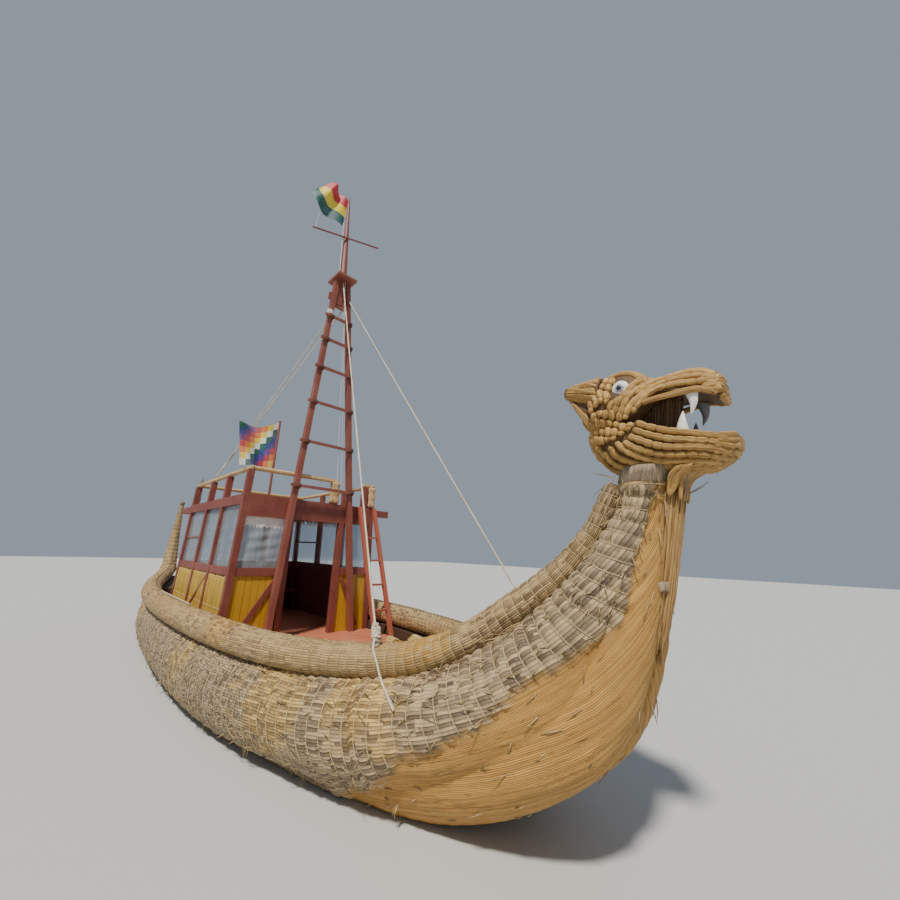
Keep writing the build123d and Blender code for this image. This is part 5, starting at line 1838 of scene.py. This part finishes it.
def flagMaterial(name, bands, diagonal):
    # printed cloth; squares along diagonals, or stripes from the top edge down
    material, tree, shader = newMaterial(name, 0.75)
    lay = layOf(tree)
    if diagonal:
        across = math2("FLOOR", times(minus(1.0, lay[0]), 6.999))
        below = math2("FLOOR", times(lay[1], 6.999))
        step = math2("DIVIDE", plus(plus(across, below), 0.5), len(bands))
    else:
        step = lay[1]
    ramp = tree.nodes.new("ShaderNodeValToRGB")
    ramp.color_ramp.interpolation = "CONSTANT"
    for index, tone in enumerate(bands):
        if index < 2:
            element = ramp.color_ramp.elements[index]
            element.position = index / len(bands)
        else:
            element = ramp.color_ramp.elements.new(index / len(bands))
        element.color = colour(*tone)
    tree.links.new(step, ramp.inputs[0])
    threads = combined(times(lay[0], 260.0), times(lay[1], 200.0))
    weave = put(tree, "TexChecker", {"Vector": threads, "Scale": 1.0, "Color1": colour(1, 1, 1),
                                     "Color2": colour(0.8, 0.8, 0.8)}).outputs[0]
    place = placeOf(tree)
    faded = noiseOf(place, 5.0, 5, 0.6)
    woven = mixColour(1.0, ramp.outputs[0], weave, "MULTIPLY")
    tone = mixColour(times(spread(faded, 0.4, 0.8), 0.22), woven, colour(0.75, 0.7, 0.66))
    feed(tree, shader, tone, spread(faded, -0.8, 1.3), weave, 0.3, 0.001)
    return material


def flatSizes(top, bottom):
    # the hoist, and the longer of the two edges that run out from it
    reach = [sum(math.dist(a, b) for a, b in zip(line, line[1:])) for line in (top, bottom)]
    return math.dist(top[0], bottom[0]), max(reach)


tricolourPlace = betweenEdges(flag["tricolourTop"], flag["tricolourBottom"], flag["tricolourX"],
                              flag["tricolourWave"])
tricolour = clothGrid(56, 72, tricolourPlace).build(
    "tricolourCloth", flagMaterial("tricolourCloth", flag["stripes"], False), "flag_cloth",
    replaced=["tricolour_flag"])
flatSizes(flag["tricolourTop"], flag["tricolourBottom"])
checkPlace = betweenEdges(flag["checkTop"], flag["checkBottom"], flag["checkX"], flag["checkWave"])
checkedCloth = clothGrid(56, 56, checkPlace).build(
    "checkedCloth", flagMaterial("checkedCloth", flag["diagonals"], True), "checked_cloth",
    replaced=["checked_flag"])
flatSizes(flag["checkTop"], flag["checkBottom"])
print("scene: flags hung")


# Floor, light and camera

studio = {
    "cameraPlace": (7.6475, -3.0245, 2.07),
    "focalLength": 15.6,
    "pitchUp": 14.78,
    "heading": 45.485,
    "roll": 2.05,
    "floorTone": (0.5, 0.5, 0.48),
    "floorReach": 60,
    "skyTone": (0.62, 0.72, 0.86),
    "skyStrength": 0.46,
    "sunTone": (1.0, 0.95, 0.87),
    "sunStrength": 4.9,
    "sunAngle": 5,
    "sunFrom": (0.35, -0.62, 1.05),
}


def makeStage():
    mesh = bpy.data.meshes.new("studioFloor")
    reach = studio["floorReach"]
    mesh.from_pydata([(-reach, -reach, 0), (reach, -reach, 0), (reach, reach, 0), (-reach, reach, 0)], [],
                     [(0, 1, 2, 3)])
    material, _, shader = newMaterial("studioFloor", 0.9)
    shader.inputs["Base Color"].default_value = colour(*studio["floorTone"])
    mesh.materials.append(material)
    floor = bpy.data.objects.new("studioFloor", mesh)
    bpy.context.scene.collection.objects.link(floor)
    world = bpy.data.worlds.new("studioSky")
    bpy.context.scene.world = world
    world.use_nodes = True
    sky = world.node_tree.nodes["Background"].inputs
    sky["Color"].default_value = colour(*studio["skyTone"])
    sky["Strength"].default_value = studio["skyStrength"]
    lamp = bpy.data.lights.new("softSun", "SUN")
    lamp.energy = studio["sunStrength"]
    lamp.angle = math.radians(studio["sunAngle"])
    lamp.color = studio["sunTone"]
    sun = bpy.data.objects.new("softSun", lamp)
    sun.rotation_euler = Vector(studio["sunFrom"]).to_track_quat("Z", "Y").to_euler()
    bpy.context.scene.collection.objects.link(sun)


def makeCamera():
    lens = bpy.data.cameras.new("camera")
    lens.sensor_width = 36
    lens.lens = studio["focalLength"]
    lens.clip_end = 200
    camera = bpy.data.objects.new("camera", lens)
    camera.location = studio["cameraPlace"]
    level = Euler((math.radians(90 + studio["pitchUp"]), 0, math.radians(studio["heading"])), "XYZ")
    turned = level.to_matrix() @ Euler((0, 0, math.radians(studio["roll"])), "XYZ").to_matrix()
    camera.rotation_euler = turned.to_euler()
    bpy.context.scene.collection.objects.link(camera)
    bpy.context.scene.camera = camera


makeStage()
makeCamera()
print("scene: finished")
